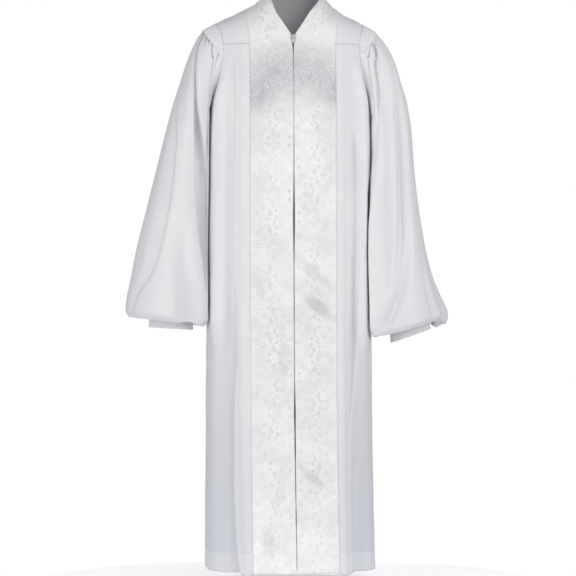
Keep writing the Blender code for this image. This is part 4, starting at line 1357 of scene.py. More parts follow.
    def gathers(self, side: Side) -> list[tuple[Knot, ...]]:
        """Creases of the gathers at the sleeve's head, uneven in place, depth and length.

        Args:
            side: Wearer's side.

        Returns:
            The creases.
        """
        draw = np.random.default_rng(self.gather_seed + side.sign)
        creases = []
        angle = self.gather_back
        while angle < self.gather_front:
            last = draw.uniform(*self.gather_lengths)
            depth = self.gather_out * draw.uniform(*self.gather_depths)
            half = draw.uniform(*self.gather_halves)
            slip = self.gather_lean * angle + draw.uniform(-self.gather_slip, self.gather_slip)
            creases.append((
                Knot(0.0, angle, half, half, 0.75 * depth),
                Knot(self.gather_sewn, angle, half, half, depth),
                Knot(0.40 * last, angle + 0.3 * slip, 1.4 * half, 1.4 * half, 0.8 * depth),
                Knot(last, angle + slip, 2.2 * half, 2.2 * half, 0.0),
            ))
            angle += self.gather_step * draw.uniform(*self.gather_spacing)
        return creases

    def sleeve(self, side: Side) -> tuple[Array, Array]:
        """Draped lattice of a sleeve and its flat cloth.

        Args:
            side: Wearer's side.

        Returns:
            The draped lattice, and the place of its points on the flat cloth.
        """
        rings = SLEEVE_RINGS[side]
        count = float(len(rings))
        s = np.concatenate([np.linspace(start, end, steps, endpoint=False)
                            for start, end, steps in self.row_runs] + [[count + 1.0]])[:, None]
        angle = np.linspace(0.0, 360.0, self.columns + 1)[None, :]
        steps = np.arange(1.0, count + 1.0)
        ring = {key: curve(steps, [getattr(row, key) for row in rings], s)
                for key in ("outer_x", "outer_z", "inner_x", "inner_z", "half_depth", "mid_y")}
        share = curve((0.0, *steps), (0.0, *(row.blend for row in rings)), s)
        seam, seam_angles = self.armhole(side)
        start = np.stack([np.interp(angle[0], seam_angles, seam[:, axis]) for axis in range(3)], axis=-1)
        base = blend(start[None], self.oval(side, ring, angle), share[..., None])
        foot = self.cuff(side, np.array(1.0 - self.cuff_seam), angle)
        under = np.clip(s - count, 0.0, 1.0)
        base = blend(base, foot, under[..., None])
        base[..., 2] -= self.blouse_drop * np.sin(math.pi * under) ** 2
        out = crease_field(SLEEVE_CREASES[side], s, angle, 360.0)
        out = out + crease_field(self.gathers(side), s, angle, 360.0)
        fade = np.clip(s / self.swell_rings, 0.0, 1.0) * np.clip(count - s, 0.0, 1.0)
        along = np.cumsum(np.concatenate(((0.0,), np.diff(s[:, 0]) * self.ring_run)))[:, None]
        meet = np.clip(np.minimum(angle, 360.0 - angle) / self.join_angle, 0.0, 1.0)
        uneven = drift(angle / 360.0 * self.girth, along, self.swell_size, self.swell_seed + side.sign)
        out = out + self.swell * fade * meet * uneven
        points = standing(base, Toward.AROUND, out)
        points[..., 1] += crease_field(SLEEVE_DEPTHS[side], s, angle, 360.0)
        points[..., 0] += side.sign * crease_field(SLEEVE_CLOSES[side], s, angle, 360.0)
        return points, flat_cloth(base)

    def build(self, crepe: bpy.types.Material) -> None:
        """Build and dress caps, sleeves and cuffs.

        Args:
            crepe: Finish of the cloth.
        """
        for side in Side:
            points, even = self.cap(side)
            share = shares(self.cap_columns)[None, :]
            wander = self.ripple_uneven * np.sin(even / self.ripple_wander)
            wave = np.cos(2.0 * math.pi * even / self.ripple_pitch + wander)[:, None]
            rise = np.clip(share / self.cap_rise, 0.0, 1.0)
            out = self.cap_lift * rise + self.ripple * wave * blend(self.ripple_start, 1.0, share)
            points = standing(points, Toward.UP, out)
            piece = laid(f"sleeve_head_{side.word}", points, flat_cloth(points), Toward.UP, self.thickness)
            self.keep(piece, "crepe", crepe, f"sleeve_cap_{side.word}")
            self.sheet(piece, points, "stretched", [f"yoke_cloth_{side.word}"])

            points, cloth = self.sleeve(side)
            piece = laid(f"sleeve_cloth_{side.word}", points, cloth, Toward.AROUND, self.thickness)
            self.keep(piece, "crepe", crepe, f"sleeve_{side.word}")
            self.sheet(piece, points, "gathered", [f"sleeve_head_{side.word}"])

            angle = np.linspace(0.0, 360.0, 2 * self.columns // 3 + 1)[None, :]
            up = shares(self.cuff_rows)[:, None]
            points = self.cuff(side, up, angle)
            soft = self.cuff_soft * np.sin(np.radians(self.cuff_waves * angle + self.cuff_wave_start))
            line = self.cuff_line * hump(up - self.cuff_line_share, self.cuff_line_half, self.cuff_line_half)
            points = standing(points, Toward.AROUND, soft - line)
            piece = laid(f"cuff_cloth_{side.word}", points, flat_cloth(points), Toward.AROUND, self.cuff_wall)
            self.keep(piece, "crepe", crepe, f"cuff_{side.word}")
            self.sheet(piece, points, "stretched", [f"sleeve_cloth_{side.word}"])


@dataclass
class Zip(Dresser):
    """Tapes and teeth of the front zip; slider and pull tab keep their solids."""

    fronts: Fronts = field(default_factory=Fronts)
    tape_width: float = 0.013
    tape_edge: float = 0.0009
    tape_behind: float = 0.0020
    tape_thickness: float = 0.0007
    tape_columns: int = 6
    tape_rows: int = 240
    tape_rise: float = 0.004
    slider_z: float = -0.0475
    tooth_pitch: float = 0.0026
    tooth: tuple[float, float, float] = (0.0024, 0.0018, 0.0012)
    tooth_behind: float = 0.0013
    tooth_aside: float = 0.0005
    tooth_stagger: float = 0.25
    tooth_bevel: float = 0.0002
    chain_rise: float = 0.010
    chain_room: float = 0.012

    def line(self, side: Side, x: Array, z: Array) -> Array:
        """Points of the front's surface at a distance from the centre and a height."""
        return stacked(TORSO.swayed(side.sign * x, z), TORSO.depth(False, x, z), z)

    def teeth(self) -> bpy.types.Mesh:
        """Rows of small blocks, right and left in turn, from the hem to the slider.

        Returns:
            The mesh of the whole chain.
        """
        chain = bmesh.new()
        count = int((self.slider_z - TORSO.hem_z - self.chain_room) / self.tooth_pitch)
        block = bpy.data.meshes.new("zip_tooth")
        shape = bmesh.new()
        bmesh.ops.create_cube(shape, size=1.0)
        bmesh.ops.scale(shape, vec=self.tooth, verts=shape.verts)
        bmesh.ops.bevel(shape, geom=shape.edges, offset=self.tooth_bevel, segments=1, profile=0.5,
                        affect="EDGES", material=-1)
        shape.to_mesh(block)
        shape.free()
        for step in range(count):
            for side in Side:
                z = TORSO.hem_z + self.chain_rise + self.tooth_pitch * (step + self.tooth_stagger * side.sign)
                place = self.line(side, np.array(self.tooth_aside), np.array(z))
                move = Matrix.Translation(Vector(place) + Vector((0.0, self.tooth_behind, 0.0)))
                block.transform(move)
                chain.from_mesh(block)
                block.transform(move.inverted())
        mesh = bpy.data.meshes.new("zip_teeth")
        chain.to_mesh(mesh)
        chain.free()
        bpy.data.meshes.remove(block)
        return mesh

    def build(self, tape: bpy.types.Material, metal: bpy.types.Material, chain: bpy.types.Material,
              nodes: dict[str, bpy.types.Object]) -> None:
        """Build and dress the zip.

        Args:
            tape: Finish of the tapes.
            metal: Finish of slider and pull tab.
            chain: Finish of the teeth.
            nodes: CAD nodes by name.
        """
        z = np.linspace(TORSO.hem_z + self.tape_rise, TORSO.v_bottom_z, self.tape_rows + 1)[:, None]
        x = np.linspace(self.tape_edge, self.tape_width, self.tape_columns + 1)[None, :]
        for side in Side:
            points = standing(self.line(side, x, z), Toward.FRONT, -self.tape_behind)
            piece = laid(f"zip_tape_cloth_{side.word}", points, flat_cloth(points), Toward.FRONT,
                         self.tape_thickness)
            self.keep(piece, "zip_tape", tape, f"zip_tape_{side.word}")
            self.sheet(piece, points, "stretched", [f"brocade_cloth_{side.word}"])
        self.keep(worn("zip_teeth", self.teeth(), 0.0), "zip_metal", chain)
        for name in ("zip_slider", "zip_pull"):
            for slot in nodes[name].material_slots:
                slot.material = metal


@dataclass
class Trims(Dresser):
    """Rolled neck edge and rows of stitches."""

    brocades: Brocades = field(default_factory=Brocades)
    sleeves: Sleeves = field(default_factory=Sleeves)
    stitch_aside: float = 0.0022
    yoke_height: float = 0.060
    roll_radius: float = 0.0011
    roll_forward: float = 0.0006
    front_points: int = 50
    neck_points: int = 61
    row_points: int = 40
    back_points: int = 160
    stitch_pitch: float = 0.0034
    stitch: tuple[float, float, float] = (0.0026, 0.0008, 0.0008)

    def tube(self, name: str, line: Array, radius: float) -> bpy.types.Object:
        """Thin round roll along a line of points.

        Args:
            name: Name of the piece.
            line: Points of its middle.
            radius: Its radius.

        Returns:
            The piece.
        """
        path = bpy.data.curves.new(name, "CURVE")
        path.dimensions = "3D"
        path.bevel_depth = radius
        path.bevel_resolution = 2
        path.use_fill_caps = True
        spline = path.splines.new("POLY")
        spline.points.add(len(line) - 1)
        spline.points.foreach_set("co", np.c_[line, np.ones(len(line))].reshape(-1))
        spline.use_smooth = True
        piece = bpy.data.objects.new(name, path)
        bpy.context.scene.collection.objects.link(piece)
        return piece

    def neck_line(self) -> Array:
        """Line of the neck edge from the foot of the V, right, round the back, to the left.

        Returns:
            Points of the line.
        """
        lines = {}
        share = np.linspace(0.0, 1.0, self.front_points)
        for side in Side:
            edge = self.brocades.yokes.front(side, np.array([0.0]), share)
            edge = edge[edge[:, 0, 2] >= TORSO.v_bottom_z][:, 0]
            lines[side] = edge - np.array((0.0, self.roll_forward, 0.0))
        reach = self.brocades.yokes.neck_share
        around = np.linspace(-reach, reach, self.neck_points)
        back = self.brocades.yokes.back(around, np.array([1.0]))[0]
        return np.concatenate((lines[Side.RIGHT], back[1:-1], lines[Side.LEFT][::-1]))

    def stitches(self, name: str, line: Array) -> bpy.types.Object:
        """Row of short stitches along a line of points.

        Args:
            name: Name of the row.
            line: Points on the cloth.

        Returns:
            One piece with every stitch of the row.
        """
        run = run_lengths(line)
        middles = np.arange(0.5 * self.stitch_pitch, run[-1], self.stitch_pitch)
        thread = bpy.data.meshes.new("stitch")
        shape = bmesh.new()
        bmesh.ops.create_icosphere(shape, subdivisions=1, radius=0.5)
        bmesh.ops.scale(shape, vec=self.stitch, verts=shape.verts)
        shape.to_mesh(thread)
        shape.free()
        row = bmesh.new()
        for middle in middles:
            ends = [Vector([np.interp(middle + step, run, line[:, axis]) for axis in range(3)])
                    for step in (-0.4 * self.stitch_pitch, 0.4 * self.stitch_pitch)]
            turn = (ends[1] - ends[0]).to_track_quat("X", "Z")
            move = Matrix.LocRotScale(0.5 * (ends[0] + ends[1]), turn, None)
            thread.transform(move)
            row.from_mesh(thread)
            thread.transform(move.inverted())
        mesh = bpy.data.meshes.new(name)
        row.to_mesh(mesh)
        row.free()
        bpy.data.meshes.remove(thread)
        mesh.shade_smooth()
        return worn(name, mesh, 0.0)

    def rows(self) -> dict[str, Array]:
        """Lines of the visible rows of stitches by name.

        Returns:
            The lines.
        """
        yokes, rows = self.brocades.yokes, {}
        for side in Side:
            rows[f"armhole_stitches_{side.word}"] = self.sleeves.seam(side, self.stitch_aside)
            share = np.linspace(yokes.fronts.band_share, 1.0, self.row_points)
            rise = np.array([2.0 / math.pi * math.asin(self.stitch_aside / self.yoke_height)])
            line = yokes.front(side, share, rise)
            pair = np.concatenate((line, line + (0.0, 0.0, self.stitch_aside)))
            rows[f"yoke_stitches_{side.word}"] = standing(pair, Toward.FRONT, yokes.lift)[0]
        share = np.linspace(-1.0, 1.0, self.back_points)
        rise = np.linspace(0.0, 1.0, self.row_points)
        rows["yoke_stitches_back"] = standing(yokes.back(share, rise), Toward.BACK, yokes.lift)[1]
        return rows

    def build(self, crepe: bpy.types.Material) -> None:
        """Build and dress the neck edge and the rows of stitches.

        Args:
            crepe: Finish of the cloth.
        """
        self.keep(self.tube("neck_edge", self.neck_line(), self.roll_radius), "crepe", crepe)
        for name, line in self.rows().items():
            self.keep(self.stitches(name, line), "crepe", crepe)


# Finishes

def tone(colour: str) -> tuple[float, float, float, float]:
    """Linear colour of an sRGB hex value."""
    parts = [int(colour[step:step + 2], 16) / 255.0 for step in (1, 3, 5)]
    return (*[part / 12.92 if part <= 0.04045 else ((part + 0.055) / 1.055) ** 2.4 for part in parts], 1.0)


@dataclass(frozen=True)
class Finish:
    """Numbers of one finish: colours, roughness, metal, sheen, the size of its surface, and the colour of
    painted shade low down.
    """

    name: str
    colour: str
    shade: str
    roughness: float
    metallic: float = 0.0
    sheen: float = 0.0
    grain: float = 0.0
    bump: float = 0.0
    # Colour of the painted shade towards the hem, if the finish has one.
    low: str = ""


class Noise(NamedTuple):
    """Noise of a finish: swells in a metre, or in a millimetre of flat cloth, detail and roughness."""

    scale: float
    detail: float
    roughness: float


class Fade(NamedTuple):
    """Fade of one value into another: where it starts and ends, and the value at each."""

    start: float
    end: float
    first: float
    last: float


# Painted shade: the crepe is painted cooler and deeper below the sleeves, starting lower on the strips beside
# the brocade, and the painted shade is paler again where the hem is doubled
PAINTED_LOW_SHADE_START_Z = -0.70
PAINTED_LOW_SHADE_FULL_Z = -1.28
PAINTED_LOW_SHADE_SHARE = 0.93
STRIP_X = 0.132
SIDE_X = 0.160
PAINTED_LOW_SHADE_LATER_ON_STRIP = 0.20
HEM_BAND_Z = -1.271
HEM_BAND_PAINTED_SHADE_SHARE = 0.66
HEM_BAND_SOFT = 0.001
CREPE_CLOUD = Noise(9.0, 3.0, 0.5)
GRAIN_DETAIL = 2.0
GRAIN_ROUGHNESS = 0.6
CREPE_RELIEF = 0.0004
SATIN_RELIEF = 0.0006
RELIEF_WIDTH = 0.1
# The crepe's low colour is painted shade towards the hem.
CREPE = Finish("white crepe", "#e8e8ea", "#dedfe3", 0.80, sheen=0.15, grain=0.0011, bump=0.22, low="#c5c8d0")
SATIN = Finish("white brocade", "#ebeae8", "#cfcfd2", 0.45, sheen=0.10, grain=0.0007, bump=0.12)
# The tape's grey is painted shade of the zip's gap; the tape itself is white.
TAPE_GREYED_AS_PAINTED_SHADE = Finish("white zip tape", "#cfd1d8", "#c2c4cc", 0.85, grain=0.0009, bump=0.3)
CHROME = Finish("bright nickel", "#84868c", "#84868c", 0.34, metallic=1.0)
# The chain's dark grey is partly its own dull metal and partly painted shade of the zip's gap.
DULL_CHAIN_AND_PAINTED_SHADE = Finish("dull nickel chain", "#55575d", "#55575d", 0.50, metallic=1.0)
FLOOR = Finish("pale studio floor", "#fbfbfc", "#fbfbfc", 0.9)


class Graph:
    """Node tree of one material, filled through a single helper."""

    def __init__(self, finish: Finish) -> None:
        """Start a material from its finish.

        Args:
            finish: Its numbers.
        """
        self.finish = finish
        self.material = bpy.data.materials.new(finish.name)
        self.material.use_nodes = True
        self.tree = self.material.node_tree
        self.shader = self.tree.nodes["Principled BSDF"]
        self.shader.inputs["Base Color"].default_value = tone(finish.colour)
        self.shader.inputs["Roughness"].default_value = finish.roughness
        self.shader.inputs["Metallic"].default_value = finish.metallic
        self.shader.inputs["Sheen Weight"].default_value = finish.sheen
        self.shader.inputs["Sheen Roughness"].default_value = 0.4

    def node(self, kind: str, *inputs: object, **settings: object) -> bpy.types.NodeSocket:
        """Add a node, set it, feed its inputs in order (None skips one) and give its first output.

        Args:
            kind: Type of the node.
            inputs: A value or a socket for each input in turn.
            settings: Properties of the node.

        Returns:
            Its first output.
        """
        node = self.tree.nodes.new(kind)
        for name, value in settings.items():
            setattr(node, name, value)
        sockets = [socket for socket in node.inputs if socket.enabled]
        for socket, value in zip(sockets, inputs):
            if isinstance(value, bpy.types.NodeSocket):
                self.tree.links.new(value, socket)
            elif value is not None:
                socket.default_value = value
        return next(socket for socket in node.outputs if socket.enabled)


def cloth_finish(finish: Finish) -> bpy.types.Material:
    """Woven cloth: slightly uneven tone, painted shade towards the hem where the finish has a low colour, and
    a fine grain.

    Args:
        finish: Its numbers; the grain is drawn coarser than the real weave so that it shows.

    Returns:
        The material.
    """
    graph = Graph(finish)
    place = graph.node("ShaderNodeTexCoord").node.outputs["Object"]
    cloud = graph.node("ShaderNodeTexNoise", place, *CREPE_CLOUD)
    mixed = graph.node("ShaderNodeMix", cloud, tone(finish.colour), tone(finish.shade), data_type="RGBA")
    # Painted shade: cooler, darker crepe towards the hem, starting lower on the strips beside the brocade and
    # lessened on the doubled hem band.
    if finish.low:
        axes = graph.node("ShaderNodeSeparateXYZ", place).node
        height = axes.outputs[2]
        outward = graph.node("ShaderNodeMath", axes.outputs[0], operation="ABSOLUTE")
        aside = graph.node("ShaderNodeMapRange", outward, STRIP_X, SIDE_X, PAINTED_LOW_SHADE_LATER_ON_STRIP, 0.0)
        level = graph.node("ShaderNodeMath", height, aside)
        painted_low_shade = graph.node("ShaderNodeMapRange", level, PAINTED_LOW_SHADE_START_Z, PAINTED_LOW_SHADE_FULL_Z, 0.0, PAINTED_LOW_SHADE_SHARE)
        band = (HEM_BAND_Z - HEM_BAND_SOFT, HEM_BAND_Z + HEM_BAND_SOFT)
        doubled = graph.node("ShaderNodeMapRange", height, *band, HEM_BAND_PAINTED_SHADE_SHARE, 1.0)
        low = graph.node("ShaderNodeMath", painted_low_shade, doubled, operation="MULTIPLY")
        mixed = graph.node("ShaderNodeMix", low, mixed, tone(finish.low), data_type="RGBA")
    graph.tree.links.new(mixed, graph.shader.inputs["Base Color"])
    grain = graph.node("ShaderNodeTexNoise", place, 1.0 / finish.grain, GRAIN_DETAIL, GRAIN_ROUGHNESS)
    relief = graph.node("ShaderNodeBump", finish.bump, CREPE_RELIEF, RELIEF_WIDTH, grain)
    graph.tree.links.new(relief, graph.shader.inputs["Normal"])
    return graph.material


class Motif(NamedTuple):
    """Woven figure: middle from the opening and up, radius, petals, how far they swell, turn."""

    u: float
    v: float
    radius: float
    petals: int
    swell: float
    turn: float


class Scroll(NamedTuple):
    """Woven S-scroll: middle from the opening and up, length, how far it swings, radius of its curls."""

    u: float
    v: float
    length: float
    swing: float
    curl: float


# One row of the pattern in millimetres; every other row is turned over
ROW_HEIGHT = 64.0
LINE_HALF = 0.45
LINE_SOFT = 0.85
RIBBON_HALF = 0.9
PAINTED_GLINT_INSIDE = 1.7
EYE_SHARE = 0.24
WAVER = 5.0
TRACERY_CELL = 4.6
MILLIMETRES = (1000.0, 1000.0, 1000.0)
MOTIFS = (
    Motif(86.0, 13.0, 8.5, 6, 0.22, 0.3), Motif(73.0, 29.0, 6.0, 5, 0.26, 1.1),
    Motif(90.0, 40.0, 6.5, 4, 0.36, 0.0), Motif(79.0, 55.0, 7.0, 6, 0.24, 0.9),
    Motif(63.0, 56.0, 4.6, 4, 0.46, 0.8), Motif(61.0, 8.0, 3.0, 1, 0.0, 0.0),
    Motif(37.0, 12.0, 5.2, 4, 0.42, 0.0), Motif(24.0, 27.0, 7.6, 8, 0.17, 0.2),
    Motif(13.0, 10.0, 3.0, 1, 0.0, 0.0), Motif(12.0, 44.0, 5.6, 4, 0.36, 0.8),
    Motif(31.0, 54.0, 6.6, 6, 0.24, 0.5), Motif(44.0, 36.0, 2.6, 1, 0.0, 0.0),
)
SCROLLS = (Scroll(54.0, 31.0, 27.0, 5.0, 3.6), Scroll(45.0, 58.0, 13.0, 3.0, 2.2))


@dataclass(frozen=True)
class Sheen:
    """Painted grey band across the chest, drooping at the sides, that stands in for the satin's sheen turned
    away, in metres.
    """

    top_z: float = -0.134
    droop: float = 4.2
    half: float = 0.067
    wander: float = 0.040
    depth: float = 0.86


@dataclass(frozen=True)
class PaintedCreaseShade:
    """Painted grey patch of shade where a crease turns the satin's sheen away: middle and half sizes in
    metres, turn in degrees and how much of the grey it takes."""

    x: float
    z: float
    half_along: float
    half_across: float
    turn: float
    depth: float


PAINTED_CREASE_SHADES = (
    PaintedCreaseShade(0.048, -0.607, 0.062, 0.017, 39.0, 0.32), PaintedCreaseShade(0.056, -0.687, 0.060, 0.019, 33.0, 0.54),
    PaintedCreaseShade(0.042, -1.088, 0.050, 0.015, 43.0, 0.36), PaintedCreaseShade(-0.028, -0.800, 0.070, 0.018, 88.0, 0.26),
    PaintedCreaseShade(-0.062, -1.238, 0.050, 0.022, 84.0, 0.30), PaintedCreaseShade(-0.034, -1.130, 0.050, 0.016, 95.0, 0.20),
    PaintedCreaseShade(-0.082, -0.640, 0.034, 0.014, 70.0, 0.20),
)


# How the satin's tones come and go, and the greys and white that they run to: painted grey of sheen turned
# away, the figures' own grey, and white for painted glints and the tracery
WAVER_NOISE = Noise(0.09, 2.0, 0.5)
SATIN_CLOUD = Noise(11.0, 2.0, 0.5)
SATIN_SPOTS = Noise(34.0, 2.0, 0.5)
SATIN_SOFT = Noise(16.0, 3.0, 0.55)
TRACERY_LINE = Fade(0.04, 0.20, 1.0, 0.0)
FIGURES_SHOWN = Fade(0.36, 0.58, 0.45, 1.0)
FIGURES_BROKEN = Fade(0.38, 0.54, 0.30, 1.0)
GROUND_PATCHES = Fade(0.42, 0.70, 0.0, 0.45)
PAINTED_GLINTS_IN_SHEEN_ARCH = Fade(0.0, 1.0, 0.26, 0.38)
FIGURE_SHARE = 0.55
FIGURE_GLOSS = 0.25
PAINTED_GLINT_SHARE = 0.30
PAINTED_CREASE_SHADE_RAGGED = 1.2
PAINTED_CREASE_SHADE_START = 0.35
PAINTED_CREASE_SHADE_END = 1.05
PAINTED_CREASE_SHADE_ALL_DEPTHS = 1000.0
PAINTED_SHEEN_GREY = "#abadb4"
FIGURE_GREY = "#b0b1b6"
PAINTED_GLINT_AND_TRACERY_WHITE = "#ffffff"


def figures(graph: Graph, cloth: bpy.types.NodeSocket) -> bpy.types.NodeSocket:
    """Distance from the woven figures' outlines in millimetres, less than zero inside them.

    Args:
        graph: The material's nodes.
        cloth: Place on the flat cloth, in millimetres.

    Returns:
        The distance.
    """
    calc = partial(graph.node, "ShaderNodeMath")
    parts = graph.node("ShaderNodeSeparateXYZ", cloth).node
    u, v = parts.outputs[0], calc(parts.outputs[1], ROW_HEIGHT, operation="PINGPONG")

    def offset(mid_u: float, mid_v: float) -> tuple[bpy.types.NodeSocket, bpy.types.NodeSocket]:
        """Place from the middle of a figure."""
        return calc(u, mid_u, operation="SUBTRACT"), calc(v, mid_v, operation="SUBTRACT")

    def reach(x: bpy.types.NodeSocket, y: bpy.types.NodeSocket) -> bpy.types.NodeSocket:
        """Distance from the middle of a figure."""
        return calc(calc(calc(x, x, operation="MULTIPLY"), calc(y, y, operation="MULTIPLY")),
                    0.5, operation="POWER")

    def ribbon(distance: bpy.types.NodeSocket) -> bpy.types.NodeSocket:
        """Narrow strip along a line."""
        return calc(calc(distance, operation="ABSOLUTE"), RIBBON_HALF, operation="SUBTRACT")

    shapes = []
    for motif in MOTIFS:
        x, y = offset(motif.u, motif.v)
        away = reach(x, y)
        if motif.petals == 1:
            shapes.append(ribbon(calc(away, motif.radius - RIBBON_HALF, operation="SUBTRACT")))
            continue
        spin = calc(calc(y, x, operation="ARCTAN2"), float(motif.petals), motif.turn,
                    operation="MULTIPLY_ADD")
        edge = calc(calc(spin, operation="COSINE"), motif.radius * motif.swell, motif.radius,
                    operation="MULTIPLY_ADD")
        eye = calc(EYE_SHARE * motif.radius, away, operation="SUBTRACT")
        shapes.append(calc(calc(away, edge, operation="SUBTRACT"), eye, operation="MAXIMUM"))
    for scroll in SCROLLS:
        x, y = offset(scroll.u, scroll.v)
        wave = calc(calc(y, 2.0 * math.pi / scroll.length, operation="MULTIPLY"), operation="SINE")
        line = ribbon(calc(x, calc(wave, scroll.swing, operation="MULTIPLY"), operation="SUBTRACT"))
        beyond = calc(calc(y, operation="ABSOLUTE"), 0.5 * scroll.length, operation="SUBTRACT")
        shapes.append(calc(line, beyond, operation="MAXIMUM"))
        for end in (-1.0, 1.0):
            x, y = offset(scroll.u + end * scroll.curl, scroll.v + 0.5 * end * scroll.length)
            shapes.append(ribbon(calc(reach(x, y), scroll.curl, operation="SUBTRACT")))
    total = shapes[0]
    for shape in shapes[1:]:
        total = calc(total, shape, operation="MINIMUM")
    return total


def brocade_finish(finish: Finish) -> bpy.types.Material:
    """White satin with slightly greyer woven figures, patchy as the light catches them; painted on it are a
    grey band of sheen across the chest, grey patches of shade where creases turn the sheen away, and white
    glints inside the figures.

    Args:
        finish: Its numbers: colour of the ground and shade of the figures.

    Returns:
        The material.
    """
    graph, sheen = Graph(finish), Sheen()
    calc = partial(graph.node, "ShaderNodeMath")
    fade = partial(graph.node, "ShaderNodeMapRange")
    soften = partial(fade, interpolation_type="SMOOTHSTEP")
    mix = partial(graph.node, "ShaderNodeMix", data_type="RGBA")
    place = graph.node("ShaderNodeTexCoord").node.outputs["Object"]
    cloth = graph.node("ShaderNodeVectorMath", graph.node("ShaderNodeUVMap", uv_map="cloth"),
                       MILLIMETRES, operation="MULTIPLY")
    wavering = graph.node("ShaderNodeTexNoise", cloth, *WAVER_NOISE).node.outputs["Color"]
    shaken = graph.node("ShaderNodeVectorMath", wavering, (WAVER, WAVER, 0.0), cloth,
                        operation="MULTIPLY_ADD")
    distance = figures(graph, shaken)
    line = Fade(LINE_HALF, LINE_HALF + LINE_SOFT, 1.0, 0.0)
    outline = soften(calc(distance, operation="ABSOLUTE"), *line)
    # Painted highlight: a white line just inside each figure's outline, standing in for raised thread
    # catching light.
    painted_glint = soften(calc(calc(distance, PAINTED_GLINT_INSIDE), operation="ABSOLUTE"), *line)
    cells = graph.node("ShaderNodeTexVoronoi", shaken, 1.0 / TRACERY_CELL, feature="DISTANCE_TO_EDGE")
    tracery = soften(cells, *TRACERY_LINE)

    cloud = graph.node("ShaderNodeTexNoise", place, *SATIN_CLOUD)
    shown = fade(cloud, *FIGURES_SHOWN)
    spots = graph.node("ShaderNodeTexNoise", place, *SATIN_SPOTS)
    broken = fade(spots, *FIGURES_BROKEN)
    # Painted sheen: a grey band across the chest that droops towards the sides and wanders with the cloud.
    axes = graph.node("ShaderNodeSeparateXYZ", place).node
    bow = calc(calc(axes.outputs[0], axes.outputs[0], operation="MULTIPLY"), sheen.droop, -sheen.top_z,
               operation="MULTIPLY_ADD")
    wander = calc(calc(cloud, 0.5, operation="SUBTRACT"), 2.0 * sheen.wander, bow, operation="MULTIPLY_ADD")
    level = calc(calc(axes.outputs[2], wander), 1.0 / sheen.half, operation="MULTIPLY")
    square = calc(level, level, operation="MULTIPLY")
    painted_sheen_arch = calc(calc(square, -1.0, operation="MULTIPLY"), operation="EXPONENT")

    soft = graph.node("ShaderNodeTexNoise", place, *SATIN_SOFT)
    ground = mix(fade(soft, *GROUND_PATCHES), tone(finish.colour), tone(finish.shade))
    # Painted shade: grey patches where creases turn the satin's sheen away, with ragged edges.
    painted_crease_shade = 0.0
    for shade in PAINTED_CREASE_SHADES:
        turn, size = math.radians(shade.turn), (shade.half_along, PAINTED_CREASE_SHADE_ALL_DEPTHS, shade.half_across)
        spot = graph.node("ShaderNodeMapping", place, (shade.x, 0.0, shade.z), (0.0, turn, 0.0), size,
                          vector_type="TEXTURE")
        away = graph.node("ShaderNodeVectorMath", spot, operation="LENGTH").node.outputs["Value"]
        uneven = calc(calc(spots, 0.5, operation="SUBTRACT"), PAINTED_CREASE_SHADE_RAGGED, away, operation="MULTIPLY_ADD")
        near = soften(uneven, PAINTED_CREASE_SHADE_START, PAINTED_CREASE_SHADE_END, shade.depth, 0.0)
        painted_crease_shade = calc(painted_crease_shade, near, operation="MAXIMUM")
    # Painted grey of sheen turned away: first the crease patches, then the band across the chest.
    ground = mix(painted_crease_shade, ground, tone(PAINTED_SHEEN_GREY))
    ground = mix(calc(painted_sheen_arch, sheen.depth, operation="MULTIPLY"), ground, tone(PAINTED_SHEEN_GREY))
    lines = calc(calc(outline, shown, operation="MULTIPLY"), broken, operation="MULTIPLY")
    woven = mix(calc(lines, FIGURE_SHARE, operation="MULTIPLY"), ground, tone(FIGURE_GREY))
    # Painted highlights: white glints inside the figures with the white tracery, a little stronger in the
    # painted sheen band.
    bright = calc(calc(painted_glint, PAINTED_GLINT_SHARE, operation="MULTIPLY"), calc(tracery, broken, operation="MULTIPLY"),
                  operation="MAXIMUM")
    lit = mix(calc(bright, fade(painted_sheen_arch, *PAINTED_GLINTS_IN_SHEEN_ARCH), operation="MULTIPLY"), woven, tone(PAINTED_GLINT_AND_TRACERY_WHITE))
    graph.tree.links.new(lit, graph.shader.inputs["Base Color"])
    gloss = calc(lines, FIGURE_GLOSS, finish.roughness, operation="MULTIPLY_ADD")
    graph.tree.links.new(gloss, graph.shader.inputs["Roughness"])
    raised = calc(bright, lines, operation="SUBTRACT")
    relief = graph.node("ShaderNodeBump", finish.bump, SATIN_RELIEF, RELIEF_WIDTH, raised)
    graph.tree.links.new(relief, graph.shader.inputs["Normal"])
    return graph.material


def metal_finish(finish: Finish) -> bpy.types.Material:
    """Plain bright metal."""
    return Graph(finish).material


class Lamp(NamedTuple):
    """Square soft light: name, where it stands, where it points, width of its side and its watts."""

    name: str
    spot: tuple[float, float, float]
    aim: tuple[float, float, float]
    size: float
    power: float


LAMPS = (
    Lamp("key", (0.35, -2.2, 0.12), (0.0, 0.0, -0.22), 1.1, 13.2),
    Lamp("right_fill", (-2.1, -1.7, -0.60), (0.0, 0.0, -0.45), 1.4, 26.5),
    Lamp("left_fill", (2.1, -1.7, -0.20), (0.0, 0.0, -0.35), 1.4, 20.5),
    Lamp("back", (0.0, 3.0, 0.1), (0.0, 0.0, -0.30), 1.6, 34.0),
)


